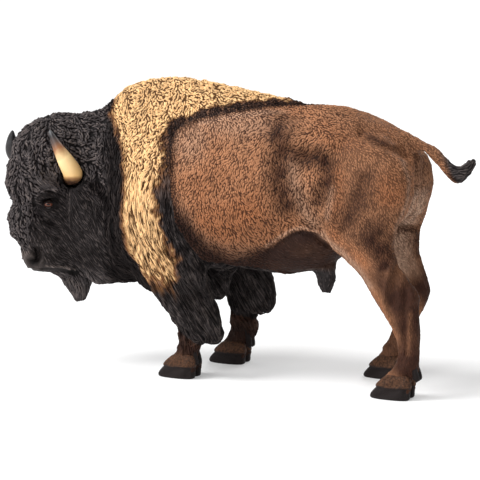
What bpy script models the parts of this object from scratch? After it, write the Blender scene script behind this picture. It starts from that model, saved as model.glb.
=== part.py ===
"""A moulded toy figure of an American bison bull, standing with its head turned to its left.

The body is sculpted as overlapping masses that are fused into one surface, then parted with thin
cuts into the pieces that a person would name. Horns, eyes, toes and dewclaws are pieces of their own.
The bull faces -Y, its left side is +X, and it stands on Z = 0 below the middle of its bounding box.
"""

import math

import bmesh
import bpy
import numpy as np
from mathutils import Matrix, Vector

MM = 0.001

# Driving dimensions, in millimetres. Forward is towards the head, left is the bull's own left.
GAP = 0.32  # between touching pieces
VOXEL = 0.85  # of the fused body
BODY_TRIANGLES = 3000
STANCE_LEFT = 12.3  # feet from the middle plane
STANCE_RIGHT = -12.4
TOE_FORE_LEFT = 33.2  # middles of the four hooves, forward of the origin
TOE_FORE_RIGHT = 27.4
TOE_HIND_LEFT = -36.0
TOE_HIND_RIGHT = -24.8
HOOF_LENGTH = 12.2
HOOF_WIDTH = 8.6
HOOF_HEIGHT = 4.6
CAPE_DEPTH = 1.5  # how far the shoulder cape stands out from the flank

# The head's own frame: forward along the nose, left, and up, from the middle of the horn bases.
HEAD_FORWARD, HEAD_LEFT, HEAD_UP = 79.3, 8.2, 61.2
HEAD_TURN = 55.0  # degrees to the left
HEAD_ROLL = 5.0  # degrees, left side up

HORN_RADIUS = 3.3
EYE_RADIUS = 1.25
EYE_FORWARD, EYE_OUT, EYE_UP = 6.2, 9.0, -10.0

SMOOTH_BELOW = 40.0  # degrees between faces that shade as one surface

# Paints: linear colour and roughness.
PAINTS = {
    "charcoal": ((0.022, 0.018, 0.018), 0.62),
    "straw": ((0.50, 0.30, 0.13), 0.6),
    "chestnut": ((0.27, 0.125, 0.07), 0.55),
    "umber": ((0.07, 0.035, 0.026), 0.5),
    "hoof_black": ((0.025, 0.018, 0.017), 0.4),
    "horn_cream": ((0.72, 0.45, 0.2), 0.35),
    "eye_amber": ((0.12, 0.035, 0.012), 0.12),
}


def place(forward, left, up):
    """A point of the bull's body, from millimetres to metres in the object's frame."""
    return Vector((left, -forward, up)) * MM


def head_matrix():
    """From the head's own millimetres (forward, left, up) to the object's metres."""
    body_axes = Matrix(((0, 1, 0), (-1, 0, 0), (0, 0, 1))).to_4x4()
    turn = Matrix.Rotation(math.radians(HEAD_TURN), 4, "Z")
    roll = Matrix.Rotation(math.radians(HEAD_ROLL), 4, "X")
    start = Matrix.Translation((HEAD_FORWARD, HEAD_LEFT, HEAD_UP))
    return Matrix.Scale(MM, 4) @ body_axes @ start @ turn @ roll


HEAD = head_matrix()


def in_head(forward, left, up):
    return HEAD @ Vector((forward, left, up))


def smooth_table(rows, count):
    """Rows of numbers joined by a Catmull-Rom spline, read at count even steps."""
    rows = np.array(rows, float)
    padded = np.vstack((2 * rows[0] - rows[1], rows, 2 * rows[-1] - rows[-2]))
    steps = np.linspace(0, len(rows) - 1, count)
    first = np.minimum(steps.astype(int), len(rows) - 2)
    t = (steps - first)[:, None]
    a, b, c, d = (padded[first + k] for k in range(4))
    squared = (2 * a - 5 * b + 4 * c - d) * t**2
    cubed = (3 * b - a - 3 * c + d) * t**3
    return 0.5 * (2 * b + (c - a) * t + squared + cubed)


def new_object(name, mesh, collection):
    made = bpy.data.objects.new(name, mesh)
    collection.objects.link(made)
    return made


def skinned(name, bm, loops, collection):
    """A closed object from loops of vertices, each joined to the next."""
    for low, high in zip(loops, loops[1:]):
        for k, start in enumerate(low):
            after = (k + 1) % len(low)
            bm.faces.new((start, low[after], high[after], high[k]))
    bm.faces.new(loops[0][::-1])
    bm.faces.new(loops[-1])
    bmesh.ops.recalc_face_normals(bm, faces=bm.faces)
    mesh = bpy.data.meshes.new(name)
    bm.to_mesh(mesh)
    bm.free()
    return new_object(name, mesh, collection)


def loft(name, rings, collection, around=28, between=4):
    """A closed tube through rings. Each ring is (centre, across, along, pinch) in metres: across and
    along are half axes, and pinch narrows the ring towards the tip of along and fills it at the other."""
    rows = [[*centre, *across, *along, pinch] for centre, across, along, pinch in rings]
    rows = smooth_table(rows, (len(rings) - 1) * between + 1)
    bm = bmesh.new()
    loops = []
    for row in rows:
        centre, across, along = (Vector(row[k : k + 3]) for k in (0, 3, 6))
        loop = []
        for k in range(around):
            angle = 2 * math.pi * k / around
            wide = math.cos(angle) * (1 - row[9] * math.sin(angle))
            loop.append(bm.verts.new(centre + across * wide + along * math.sin(angle)))
        loops.append(loop)
    return skinned(name, bm, loops, collection)


def upright_rings(rows):
    """Rings across the body's length, from (forward, left, turn, bottom, top, half width, pinch)."""
    rings = []
    for forward, left, turn, bottom, top, half_width, pinch in rows:
        yaw = math.radians(turn)
        across = Vector((math.cos(yaw), math.sin(yaw), 0)) * half_width * MM
        along = Vector((0, 0, (top - bottom) / 2)) * MM
        rings.append((place(forward, left, (top + bottom) / 2), across, along, pinch))
    return rings


def level_rings(rows):
    """Level rings down a limb, from (up, forward, half length, left, half width)."""
    rings = []
    for up, forward, half_length, left, half_width in rows:
        across = Vector((half_width, 0, 0)) * MM
        along = Vector((0, -half_length, 0)) * MM
        rings.append((place(forward, left, up), across, along, 0.0))
    return rings


def head_rings(rows):
    """Level rings down the head, from (up, forward, half length, half width, pinch)."""
    turn = HEAD.to_3x3()
    rings = []
    for up, forward, half_length, half_width, pinch in rows:
        across, along = turn @ Vector((0, half_width, 0)), turn @ Vector((half_length, 0, 0))
        rings.append((in_head(forward, 0, up), across, along, pinch))
    return rings


def ellipsoid(name, matrix, radii, collection, segments=24):
    """An ellipsoid with its own frame: matrix carries millimetres to the object's metres."""
    bm = bmesh.new()
    bmesh.ops.create_uvsphere(bm, u_segments=segments, v_segments=segments // 2, radius=1.0)
    bmesh.ops.transform(bm, matrix=matrix @ Matrix.Diagonal((*radii, 1)), verts=bm.verts)
    if matrix.determinant() < 0:
        bmesh.ops.reverse_faces(bm, faces=bm.faces)
    mesh = bpy.data.meshes.new(name)
    bm.to_mesh(mesh)
    bm.free()
    return new_object(name, mesh, collection)


def muscle(name, centre, radii, collection, turn=0.0, pitch=0.0):
    """An ellipsoid of the body. Radii run forward, left and up; pitch raises its front end."""
    axes = Matrix(((0, 1, 0), (-1, 0, 0), (0, 0, 1))).to_4x4()
    spin = Matrix.Rotation(math.radians(turn), 4, "Z") @ Matrix.Rotation(math.radians(-pitch), 4, "Y")
    matrix = Matrix.Scale(MM, 4) @ axes @ Matrix.Translation(centre) @ spin
    return ellipsoid(name, matrix, radii, collection)


def head_muscle(name, centre, radii, collection, pitch=0.0):
    matrix = HEAD @ Matrix.Translation(centre) @ Matrix.Rotation(math.radians(-pitch), 4, "Y")
    return ellipsoid(name, matrix, radii, collection)


def prism(name, outline, half_width, collection):
    """A flat outline of (forward, up) points, thickened to both sides of the middle plane."""
    curve = bpy.data.curves.new(name, "CURVE")
    curve.dimensions = "2D"
    curve.fill_mode = "BOTH"
    curve.extrude = half_width * MM
    spline = curve.splines.new("POLY")
    spline.points.add(len(outline) - 1)
    for point, (forward, up) in zip(spline.points, outline):
        point.co = (-forward * MM, up * MM, 0, 1)
    spline.use_cyclic_u = True
    upright = Matrix(((0, 0, 1), (1, 0, 0), (0, 1, 0))).to_4x4()
    return curve_to_mesh(name, curve, upright, collection)


def curve_to_mesh(name, curve, matrix, collection):
    """A curve made a closed mesh with its place in its vertices."""
    holder = bpy.data.objects.new(name, curve)
    collection.objects.link(holder)
    bpy.context.view_layer.update()
    graph = bpy.context.evaluated_depsgraph_get()
    mesh = bpy.data.meshes.new_from_object(holder.evaluated_get(graph))
    bpy.data.objects.remove(holder)
    bm = bmesh.new()
    bm.from_mesh(mesh)
    bmesh.ops.remove_doubles(bm, verts=bm.verts, dist=0.00001)
    bmesh.ops.transform(bm, matrix=matrix, verts=bm.verts)
    bmesh.ops.recalc_face_normals(bm, faces=bm.faces)
    bm.to_mesh(mesh)
    bm.free()
    return new_object(name, mesh, collection)


def tapered_tube(name, rows, collection, resolution=2):
    """A round tube through (point, radius in millimetres) rows, with rounded ends."""
    curve = bpy.data.curves.new(name, "CURVE")
    curve.dimensions = "3D"
    curve.bevel_depth = MM
    curve.bevel_resolution = resolution
    curve.use_fill_caps = True
    points = smooth_table([[*point, radius] for point, radius in rows], 2 * len(rows) + 1)
    spline = curve.splines.new("POLY")
    spline.points.add(len(points) - 1)
    for control, row in zip(spline.points, points):
        control.co = (*row[:3], 1)
        control.radius = max(row[3], 0.15)
    return curve_to_mesh(name, curve, Matrix.Identity(4), collection)


def evaluated_mesh(holder):
    bpy.context.view_layer.update()
    graph = bpy.context.evaluated_depsgraph_get()
    return bpy.data.meshes.new_from_object(holder.evaluated_get(graph))


def apply_modifiers(holder):
    mesh = evaluated_mesh(holder)
    holder.modifiers.clear()
    holder.data = mesh


def cut(target, cutter, operation="DIFFERENCE"):
    """Applies a Boolean with the cutter, and removes the cutter."""
    cutter.hide_render = True
    cutter.display_type = "WIRE"
    modifier = target.modifiers.new("cut", "BOOLEAN")
    modifier.operation = operation
    modifier.object = cutter
    apply_modifiers(target)
    bpy.data.objects.remove(cutter)


# --- The body's masses -------------------------------------------------------------------------

# (forward, left, turn, bottom, top, half width, pinch)
TRUNK = (
    (-38.8, 0, 0, 58.0, 74.0, 5.0, 0.0),
    (-34.5, 0, 0, 50.0, 77.2, 11.0, 0.12),
    (-27.0, 0, 0, 47.0, 80.5, 14.6, 0.20),
    (-18.0, 0, 0, 46.0, 83.7, 16.0, 0.26),
    (-10.0, 0, 0, 45.0, 84.5, 16.4, 0.26),
    (-3.0, 0, 0, 42.5, 84.8, 17.0, 0.24),
    (4.0, 0, 0, 37.5, 85.9, 18.6, 0.24),
    (13.0, 0, 0, 33.6, 87.2, 19.4, 0.22),
    (22.0, 0, 0, 33.2, 88.8, 19.4, 0.26),
    (31.0, 0, 0, 33.4, 90.2, 18.8, 0.32),
    (40.0, 0, 0, 31.4, 91.0, 18.0, 0.38),
    (49.0, 0, 0, 29.0, 89.8, 16.6, 0.40),
    (57.0, 0.5, 6, 27.5, 85.8, 14.8, 0.34),
)
NECK = (
    (48.0, 0.0, 0, 28.0, 89.0, 16.0, 0.38),
    (57.5, 0.6, 8, 26.4, 84.9, 14.6, 0.30),
    (64.5, 2.2, 18, 26.0, 80.9, 13.6, 0.18),
    (70.5, 4.6, 30, 28.0, 79.0, 12.8, 0.08),
    (76.0, 8.0, 42, 32.0, 76.6, 11.5, 0.00),
)
BELLY = (
    (26.0, 0, 0, 36.0, 52.0, 9.0, 0),
    (18.0, 0, 0, 33.2, 54.0, 11.5, 0),
    (8.0, 0, 0, 32.2, 56.0, 13.4, 0),
    (-2.0, 0, 0, 32.8, 60.0, 14.4, 0),
    (-9.0, 0, 0, 34.4, 60.0, 14.0, 0),
    (-15.0, 0, 0, 38.4, 60.0, 12.0, 0),
    (-20.0, 0, 0, 44.0, 60.0, 9.0, 0),
)
# The cape's border seen from the side: from the ridge of the back down behind the shoulder.
CAPE_BORDER = (
    (-9.0, 96.0),
    (-9.0, 85.4),
    (4.0, 84.6),
    (16.0, 83.2),
    (25.0, 80.6),
    (30.4, 76.6),
    (33.0, 71.0),
    (33.8, 64.0),
    (33.0, 56.0),
    (30.2, 49.0),
    (25.6, 42.5),
    (21.0, 37.0),
    (21.0, 20.0),
    (60.0, 20.0),
    (70.0, 96.0),
)
# (up, forward, half length, left, half width): the limb, then the skirt of long hair behind it
FORELEG_LEFT = (
    (52.0, 38.5, 9.0, 11.5, 6.0),
    (40.0, 36.0, 7.5, 12.6, 5.6),
    (28.0, 33.2, 5.2, 12.8, 4.2),
    (19.0, 31.2, 3.9, 12.6, 3.4),
    (14.0, 30.7, 3.2, 12.4, 2.9),
    (10.5, 30.6, 3.0, 12.3, 2.8),
    (7.6, 31.2, 3.9, 12.3, 3.5),
    (5.4, 32.6, 4.4, 12.3, 3.7),
    (3.6, 33.4, 4.3, 12.3, 3.7),
)
SKIRT_LEFT = (
    (54.0, 40.0, 10.5, 12.0, 6.6),
    (44.0, 37.4, 12.0, 13.4, 6.9),
    (36.0, 35.4, 12.0, 13.7, 6.5),
    (29.0, 32.6, 10.6, 13.6, 6.0),
    (22.0, 29.6, 9.8, 13.4, 5.5),
    (17.5, 27.3, 8.3, 13.2, 4.8),
    (14.0, 24.8, 6.5, 13.0, 4.0),
    (11.2, 23.2, 3.8, 12.9, 2.6),
)
FORELEG_RIGHT = (
    (52.0, 38.0, 9.0, -11.0, 6.0),
    (40.0, 32.0, 7.5, -12.2, 5.4),
    (28.0, 26.4, 5.2, -12.4, 4.2),
    (19.0, 23.9, 3.9, -12.4, 3.4),
    (14.0, 23.4, 3.4, -12.4, 3.0),
    (10.5, 23.6, 3.4, -12.4, 3.0),
    (7.6, 24.6, 4.2, -12.4, 3.5),
    (5.4, 26.4, 4.5, -12.4, 3.7),
    (3.6, 27.4, 4.4, -12.4, 3.7),
)
SKIRT_RIGHT = (
    (54.0, 39.0, 10.5, -12.0, 6.6),
    (44.0, 33.4, 11.0, -13.4, 6.6),
    (36.0, 26.6, 9.8, -13.8, 6.0),
    (29.0, 21.6, 8.3, -13.6, 5.5),
    (23.0, 19.8, 8.0, -13.2, 5.2),
    (19.0, 19.0, 7.0, -13.0, 4.6),
    (16.6, 18.0, 4.6, -12.9, 3.0),
)
HINDLEG_LEFT = (
    (74.0, -24.0, 9.0, 8.5, 4.6),
    (66.0, -26.0, 13.2, 10.4, 6.0),
    (58.0, -27.0, 13.6, 11.6, 6.2),
    (52.0, -26.2, 11.8, 12.4, 5.7),
    (46.0, -26.6, 9.8, 12.8, 5.0),
    (41.0, -28.6, 8.4, 13.0, 4.6),
    (36.0, -32.4, 7.8, 13.0, 4.2),
    (31.6, -35.5, 7.6, 12.8, 3.9),
    (27.4, -37.6, 6.4, 12.6, 3.6),
    (23.2, -39.2, 5.1, 12.5, 3.4),
    (19.0, -40.6, 4.0, 12.4, 3.1),
    (15.0, -41.0, 3.4, 12.3, 2.9),
    (11.0, -40.8, 3.5, 12.3, 3.0),
    (8.0, -39.8, 4.4, 12.3, 3.6),
    (5.6, -37.6, 4.9, 12.3, 3.8),
    (3.6, -36.3, 4.7, 12.3, 3.8),
)
HINDLEG_RIGHT = (
    (74.0, -24.0, 9.0, -8.5, 4.6),
    (66.0, -25.6, 13.0, -10.4, 6.0),
    (58.0, -25.6, 13.4, -11.6, 6.2),
    (52.0, -25.4, 12.0, -12.4, 5.7),
    (46.0, -26.2, 9.2, -12.8, 5.0),
    (40.0, -28.0, 7.2, -12.8, 4.6),
    (35.5, -30.5, 6.1, -12.7, 4.1),
    (31.0, -32.8, 5.4, -12.6, 3.8),
    (27.4, -34.2, 5.0, -12.5, 3.5),
    (23.0, -33.4, 4.3, -12.4, 3.2),
    (18.0, -31.5, 3.5, -12.4, 2.9),
    (13.0, -29.5, 3.1, -12.4, 2.8),
    (9.4, -28.0, 3.9, -12.4, 3.4),
    (6.2, -26.0, 4.5, -12.4, 3.8),
    (3.8, -24.8, 4.5, -12.4, 3.8),
)
# (up, forward, half length, half width, pinch), in the head's frame
FACE = (
    (12.0, -1.0, 10.5, 8.5, 0),
    (4.0, 1.5, 11.5, 10.0, 0),
    (-4.0, 2.4, 11.6, 10.0, 0.05),
    (-10.0, 2.8, 11.6, 9.2, 0.12),
    (-16.0, 2.4, 11.8, 8.2, 0.16),
    (-22.0, 1.4, 11.6, 7.0, 0.10),
    (-26.0, 0.8, 10.0, 6.3, 0.02),
    (-29.2, 0.0, 8.6, 5.8, 0),
    (-31.8, -1.8, 6.4, 4.8, 0),
    (-33.8, -4.0, 3.8, 3.4, 0),
)
BEARD = (
    (-29.0, -4.8, 6.8, 4.8, 0),
    (-33.5, -6.4, 6.4, 4.4, 0),
    (-37.0, -7.0, 4.8, 3.6, 0),
    (-40.4, -7.4, 3.1, 2.6, 0),
    (-43.0, -7.6, 1.6, 1.3, 0),
)


def trunk_masses(into):
    thicker = [(*row[:3], row[3] - CAPE_DEPTH, row[4], row[5] + CAPE_DEPTH, row[6]) for row in TRUNK]
    cape = loft("cape", upright_rings(thicker), into)
    border = prism("border", CAPE_BORDER, 40, into)
    cut(cape, border, "INTERSECT")
    loft("trunk", upright_rings([(*r[:4], r[4] - 0.6, *r[5:]) for r in TRUNK]), into)
    loft("belly", upright_rings(BELLY), into)
    loft("neck", upright_rings(NECK), into)
    muscle("brisket", (33.0, 0, 33.0), (14.0, 8.0, 8.5), into, pitch=-8)
    muscle("brisket_tuft", (25.8, 0, 28.5), (4.6, 3.6, 6.8), into)
    muscle("chest_fringe", (41.0, 8.4, 33.4), (9.8, 6.8, 9.4), into, pitch=26)
    muscle("throat_wool", (57.0, 3.0, 36.0), (13.0, 9.5, 9.5), into, turn=14)
    muscle("sheath", (-10.6, 0, 33.2), (3.2, 2.8, 6.7), into, pitch=-4)
    for side in (1, -1):
        muscle("shoulder", (42.0, 11.0 * side, 52.0), (10.0, 8.4, 19.0), into, pitch=14)
        muscle("rib_barrel", (16.0, 8.6 * side, 53.0), (15.0, 10.6, 17.5), into)
        muscle("hip_bone", (-14.0, 8.6 * side, 71.6), (7.4, 7.0, 6.0), into, pitch=-10)
        muscle("loin", (-1.0, 6.4 * side, 72.4), (18.0, 8.8, 8.0), into, pitch=-3)
        muscle("rump_muscle", (-24.0, 7.2 * side, 67.0), (13.5, 8.6, 9.8), into, pitch=-18)
        muscle("quadriceps", (-18.6, 10.0 * side, 57.0), (8.0, 7.6, 15.0), into, pitch=-12)
        muscle("buttock", (-31.4, 8.9 * side, 61.0), (9.2, 7.4, 12.5), into, pitch=6)
        muscle("stifle", (-21.0, 12.4 * side, 47.0), (5.4, 4.8, 7.0), into, pitch=-30)


def limb_masses(into):
    for name, rows in (("foreleg_left", FORELEG_LEFT), ("foreleg_right", FORELEG_RIGHT)):
        loft(name, level_rings(rows), into, around=20)
    for name, rows in (("skirt_left", SKIRT_LEFT), ("skirt_right", SKIRT_RIGHT)):
        loft(name, level_rings(rows), into, around=20)
    for name, rows in (("hindleg_left", HINDLEG_LEFT), ("hindleg_right", HINDLEG_RIGHT)):
        loft(name, level_rings(rows), into, around=20)
    muscle("hock_left", (-42.2, 12.6, 29.4), (2.1, 2.2, 3.8), into)
    muscle("hock_right", (-36.4, -12.5, 27.6), (2.0, 2.2, 3.8), into)
    muscle("ergot_hair_left", (27.0, 12.4, 12.4), (1.7, 2.2, 4.6), into, pitch=10)
    muscle("ergot_hair_right", (19.4, -12.4, 12.6), (1.8, 2.2, 6.0), into, pitch=6)


def head_masses(into):
    loft("face", head_rings(FACE), into)
    loft("beard", head_rings(BEARD), into, around=16)
    head_muscle("crown_wool", (-4.4, 0, 4.6), (17.4, 13.4, 12.8), into, pitch=4)
    head_muscle("forehead_wool", (5.4, 0, -2.6), (9.6, 10.6, 13.8), into)
    head_muscle("nose_bridge_wool", (8.2, 0, -15.4), (7.0, 6.8, 8.6), into)
    head_muscle("muzzle", (5.2, 0, -27.2), (6.2, 6.1, 4.8), into, pitch=-6)
    head_muscle("jaw", (-6.0, 0, -26.4), (7.4, 6.4, 7.2), into, pitch=10)
    for side in (1, -1):
        head_muscle("brow", (5.2, 8.0 * side, -5.6), (4.6, 2.9, 2.4), into)
        head_muscle("cheek", (-6.0, 5.4 * side, -16.5), (8.8, 6.2, 12.0), into)
        head_muscle("horn_collar", (-1.4, 10.2 * side, -1.2), (5.0, 3.4, 4.6), into)


def tail_mass(into):
    rows = (
        (place(-27.0, 0, 77.4), 2.6),
        (place(-33.5, 0, 75.6), 2.5),
        (place(-38.0, 0, 73.9), 2.1),
        (place(-42.0, 0, 71.6), 1.9),
        (place(-45.4, 0, 68.4), 2.1),
        (place(-48.6, 0, 66.2), 2.6),
        (place(-52.0, 0, 66.1), 2.6),
        (place(-54.6, 0, 67.6), 2.0),
        (place(-55.8, 0, 69.3), 0.9),
    )
    tapered_tube("tail", rows, into, resolution=4)


def fused_body(masses, into):
    """All the masses as one closed, softened and lightened surface."""
    bm = bmesh.new()
    for mass in list(masses.objects):
        bm.from_mesh(mass.data)
        bpy.data.objects.remove(mass)
    mesh = bpy.data.meshes.new("body")
    bm.to_mesh(mesh)
    bm.free()
    body = new_object("body", mesh, into)
    remesh = body.modifiers.new("remesh", "REMESH")
    remesh.mode = "VOXEL"
    remesh.voxel_size = VOXEL * MM
    soften = body.modifiers.new("soften", "SMOOTH")
    soften.factor = 0.5
    soften.iterations = 5
    apply_modifiers(body)
    keep_largest(body)
    lighten = body.modifiers.new("lighten", "DECIMATE")
    triangles = sum(len(face.vertices) - 2 for face in body.data.polygons)
    lighten.ratio = BODY_TRIANGLES / triangles
    lighten.use_collapse_triangulate = True
    apply_modifiers(body)
    return body


def islands(mesh):
    """The vertex numbers of each connected piece of a mesh."""
    bm = bmesh.new()
    bm.from_mesh(mesh)
    bm.verts.ensure_lookup_table()
    seen, found = set(), []
    for start in bm.verts:
        if start.index in seen:
            continue
        seen.add(start.index)
        island, todo = [], [start]
        while todo:
            vertex = todo.pop()
            island.append(vertex.index)
            for edge in vertex.link_edges:
                other = edge.other_vert(vertex)
                if other.index not in seen:
                    seen.add(other.index)
                    todo.append(other)
        found.append(island)
    bm.free()
    return found


def without(mesh, dropped):
    """A copy of the mesh that lacks these vertices."""
    copy = mesh.copy()
    bm = bmesh.new()
    bm.from_mesh(copy)
    bm.verts.ensure_lookup_table()
    bmesh.ops.delete(bm, geom=[bm.verts[k] for k in dropped], context="VERTS")
    bm.to_mesh(copy)
    bm.free()
    return copy


def keep_largest(holder):
    pieces = sorted(islands(holder.data), key=len)
    holder.data = without(holder.data, [k for piece in pieces[:-1] for k in piece])


# --- Hard pieces -------------------------------------------------------------------------------


def horn(side, grown=0.0):
    """A short horn that leaves the wool sideways and curls up, in and forward to its point."""
    rows = (
        ((-1.8, 7.4, -2.6), HORN_RADIUS),
        ((-1.7, 10.8, -2.5), HORN_RADIUS),
        ((0.0, 14.4, -1.0), HORN_RADIUS * 0.95),
        ((3.0, 16.9, 2.6), HORN_RADIUS * 0.78),
        ((5.2, 16.8, 6.6), HORN_RADIUS * 0.54),
        ((6.2, 15.3, 10.0), HORN_RADIUS * 0.31),
        ((6.5, 13.9, 12.2), HORN_RADIUS * 0.14),
    )
    return [(in_head(a, left * side, up), radius + grown) for (a, left, up), radius in rows]


def toe_ring(forward, left, up, half_length, half_width, outer, around=14):
    """A level outline of one toe: pointed ahead, blunt at the heel and flat towards the cleft."""
    ring = []
    for k in range(around):
        angle = 2 * math.pi * k / around
        out, ahead = math.cos(angle), math.sin(angle)
        across = out if out > 0 else -0.86 * abs(out) ** 0.45
        along = ahead if ahead > 0 else -abs(ahead) ** 0.7
        ring.append(place(forward + along * half_length, left + across * half_width * outer, up))
    return ring


def toe(name, forward, left, outer, into, grown=0.0):
    """One toe of a cloven hoof. Outer is 1 where its outer wall faces the bull's left."""
    long, wide = HOOF_LENGTH / 2 + grown, HOOF_WIDTH / 4 - GAP / 4 + grown
    middle = left + (HOOF_WIDTH / 4 + GAP / 4) * outer
    rows = (
        (0.0, 0.0, 0.97, 0.94),
        (0.9, -0.1, 1.0, 1.0),
        (HOOF_HEIGHT * 0.55, -0.75, 0.84, 0.97),
        (HOOF_HEIGHT * 0.86, -1.3, 0.68, 0.88),
        (HOOF_HEIGHT + grown, -1.6, 0.54, 0.72),
    )
    bm = bmesh.new()
    loops = []
    for up, back, length, width in rows:
        ring = toe_ring(forward + back, middle, up, long * length, wide * width, outer)
        loops.append([bm.verts.new(point) for point in ring])
    return skinned(name, bm, loops, into)


# (foot, middle of the hoof forward, left, back of the fetlock forward, height of its dewclaws)
FEET = (
    ("fore_left", TOE_FORE_LEFT, STANCE_LEFT, 27.0, 8.6),
    ("fore_right", TOE_FORE_RIGHT, STANCE_RIGHT, 20.0, 9.4),
    ("hind_left", TOE_HIND_LEFT, STANCE_LEFT, -43.9, 10.2),
    ("hind_right", TOE_HIND_RIGHT, STANCE_RIGHT, -31.8, 9.6),
)


def dewclaw(name, forward, left, up, side, into, grown=0.0):
    """A small blunt claw that hangs behind the fetlock."""
    matrix = Matrix.Scale(MM, 4) @ Matrix(((0, 1, 0), (-1, 0, 0), (0, 0, 1))).to_4x4()
    matrix = matrix @ Matrix.Translation((forward, left + 1.75 * side, up - 2.0))
    matrix = matrix @ Matrix.Rotation(math.radians(10), 4, "Y")
    return ellipsoid(name, matrix, (1.25 + grown, 1.1 + grown, 2.9 + grown), into, segments=10)


def eye(name, side, into, grown=0.0):
    matrix = HEAD @ Matrix.Translation((EYE_FORWARD, EYE_OUT * side, EYE_UP))
    radius = EYE_RADIUS + grown
    return ellipsoid(name, matrix, (radius, radius, radius), into, segments=10)


def hard_pieces(body, parts, cutters):
    """Adds the pieces that are not flesh, and lets each one into the body with a clear gap."""
    makers = []
    for side, word in ((1, "left"), (-1, "right")):
        makers.append(("horn_" + word, "horn_cream", lambda n, c, g, s=side: tapered_tube(n, horn(s, g), c)))
        makers.append(("eye_" + word, "eye_amber", lambda n, c, g, s=side: eye(n, s, c, g)))
    for foot, forward, left, heel, fetlock in FEET:
        for outer, word in ((1, "a"), (-1, "b")):
            makers.append((
                f"toe_{foot}_{word}",
                "hoof_black",
                lambda n, c, g, f=forward, y=left, o=outer: toe(n, f, y, o, c, g),
            ))
            makers.append((
                f"dewclaw_{foot}_{word}",
                "hoof_black",
                lambda n, c, g, f=heel, y=left, u=fetlock, o=outer: dewclaw(n, f, y, u, o, c, g),
            ))
    for name, paint, make in makers:
        cut(body, make(name + "_socket", cutters, GAP))
        painted(make(name, parts, 0.0), paint)


# --- Parting -----------------------------------------------------------------------------------


def slab(centre, normal, side, half_side, half_long, cutters):
    """A thin rectangular cutter in the object's frame: half_side runs along side, in millimetres."""
    normal = normal.normalized()
    side = (side - normal * side.dot(normal)).normalized()
    turn = Matrix((side, normal.cross(side), normal)).transposed().to_4x4()
    size = Matrix.Diagonal((half_side * MM, half_long * MM, GAP / 2 * MM, 1))
    bm = bmesh.new()
    bmesh.ops.create_cube(bm, size=2.0)
    bmesh.ops.transform(bm, matrix=Matrix.Translation(centre) @ turn @ size, verts=bm.verts)
    mesh = bpy.data.meshes.new("slab")
    bm.to_mesh(mesh)
    bm.free()
    return new_object("slab", mesh, cutters)


def part_off(body, name, paint, seed, slab_shape, parts, cutters):
    """Cuts the body with a thin slab, and makes the piece that lies nearest the seed an object."""
    cut(body, slab(*slab_shape, cutters))
    pieces = islands(body.data)
    if len(pieces) < 2:
        raise ValueError(f"the cut for {name} parts nothing")
    places = np.array([vertex.co for vertex in body.data.vertices])
    nearest = min(pieces, key=lambda piece: np.linalg.norm(places[piece] - np.array(seed), axis=1).min())
    rest = [k for piece in pieces if piece is not nearest for k in piece]
    made = new_object(name, without(body.data, rest), parts)
    body.data = without(body.data, nearest)
    painted(made, paint)


def in_plane(centre, normal, half_side, half_long, turn=0.0):
    """The shape of a body slab: its normal is (forward, left, up), and its side runs across the body."""
    yaw = math.radians(turn)
    axis = Vector((normal[1], -normal[0], normal[2]))
    return place(*centre), axis, Vector((math.cos(yaw), math.sin(yaw), 0)), half_side, half_long


def head_cuts():
    turn = HEAD.to_3x3()
    ahead, across, up = ((turn @ Vector(axis)).normalized() for axis in ((1, 0, 0), (0, 1, 0), (0, 0, 1)))
    lip_line = ahead * 0.622 - up * 0.783
    return [
        ("beard", "charcoal", in_head(-8, 0, -42), (in_head(-6.5, 0, -35.8), up, across, 6.0, 7.6)),
        ("muzzle", "charcoal", in_head(10, 0, -28), (in_head(5.0, 0, -27.5), lip_line, across, 10.0, 14.6)),
        (
            "head", "charcoal", in_head(12, 0, 0),
            in_plane((67.0, 1.7, 52.0), (0.788, 0.616, 0.0), 18.8, 36.0, turn=38.0),
        ),
        ("neck", "charcoal", place(66, -11, 52), in_plane((56.0, 0, 55.0), (1, 0, 0), 26.0, 44.0)),
    ]


def rear_cuts():
    rows = [
        ("tail_tuft", "charcoal", place(-55, 0, 68), in_plane((-46.8, 0, 67.3), (0.8, 0, 0.6), 5.0, 5.0)),
        ("tail", "chestnut", place(-44, 0, 70), in_plane((-42.0, 0, 71.5), (0.78, 0, 0.62), 5.0, 5.0)),
        ("sheath", "charcoal", place(-10.8, 0, 27.2), in_plane((-10.8, 0, 32.4), (0, 0, 1), 4.4, 5.0)),
    ]
    for word, side, forward, foot in (("left", 1, -32.4, -40.0), ("right", -1, -30.4, -31.0)):
        rows.append((
            "hindleg_" + word, "umber", place(foot, 12 * side, 12),
            in_plane((forward, 13.0 * side, 33.5), (0.5, 0, 1), 6.6, 11.0),
        ))
    rows.append((
        "hindquarters", "chestnut", place(-30, 0, 78),
        in_plane((-12.5, 0, 60.0), (1, 0, 0), 26.0, 36.0),
    ))
    return rows


def front_cuts():
    return [
        (
            "foreleg_left", "umber", place(31, STANCE_LEFT, 8),
            in_plane((31.0, STANCE_LEFT, 14.0), (-0.545, 0, 0.84), 5.6, 7.6),
        ),
        (
            "foreleg_right", "umber", place(24, STANCE_RIGHT, 8),
            in_plane((23.2, STANCE_RIGHT, 15.4), (-0.24, 0, 0.97), 5.6, 7.6),
        ),
        ("brisket", "charcoal", place(33, 0, 24.6), in_plane((35.4, 0, 33.2), (-0.11, 0, 1), 26.0, 22.6)),
        ("shoulder_cape", "straw", place(44, 0, 90), in_plane((33.2, 0, 60.0), (1, 0, 0.16), 26.0, 44.0)),
        ("belly", "umber", place(5, 0, 33), in_plane((12.0, 0, 38.0), (0, 0, 1), 26.0, 27.0)),
    ]


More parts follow.
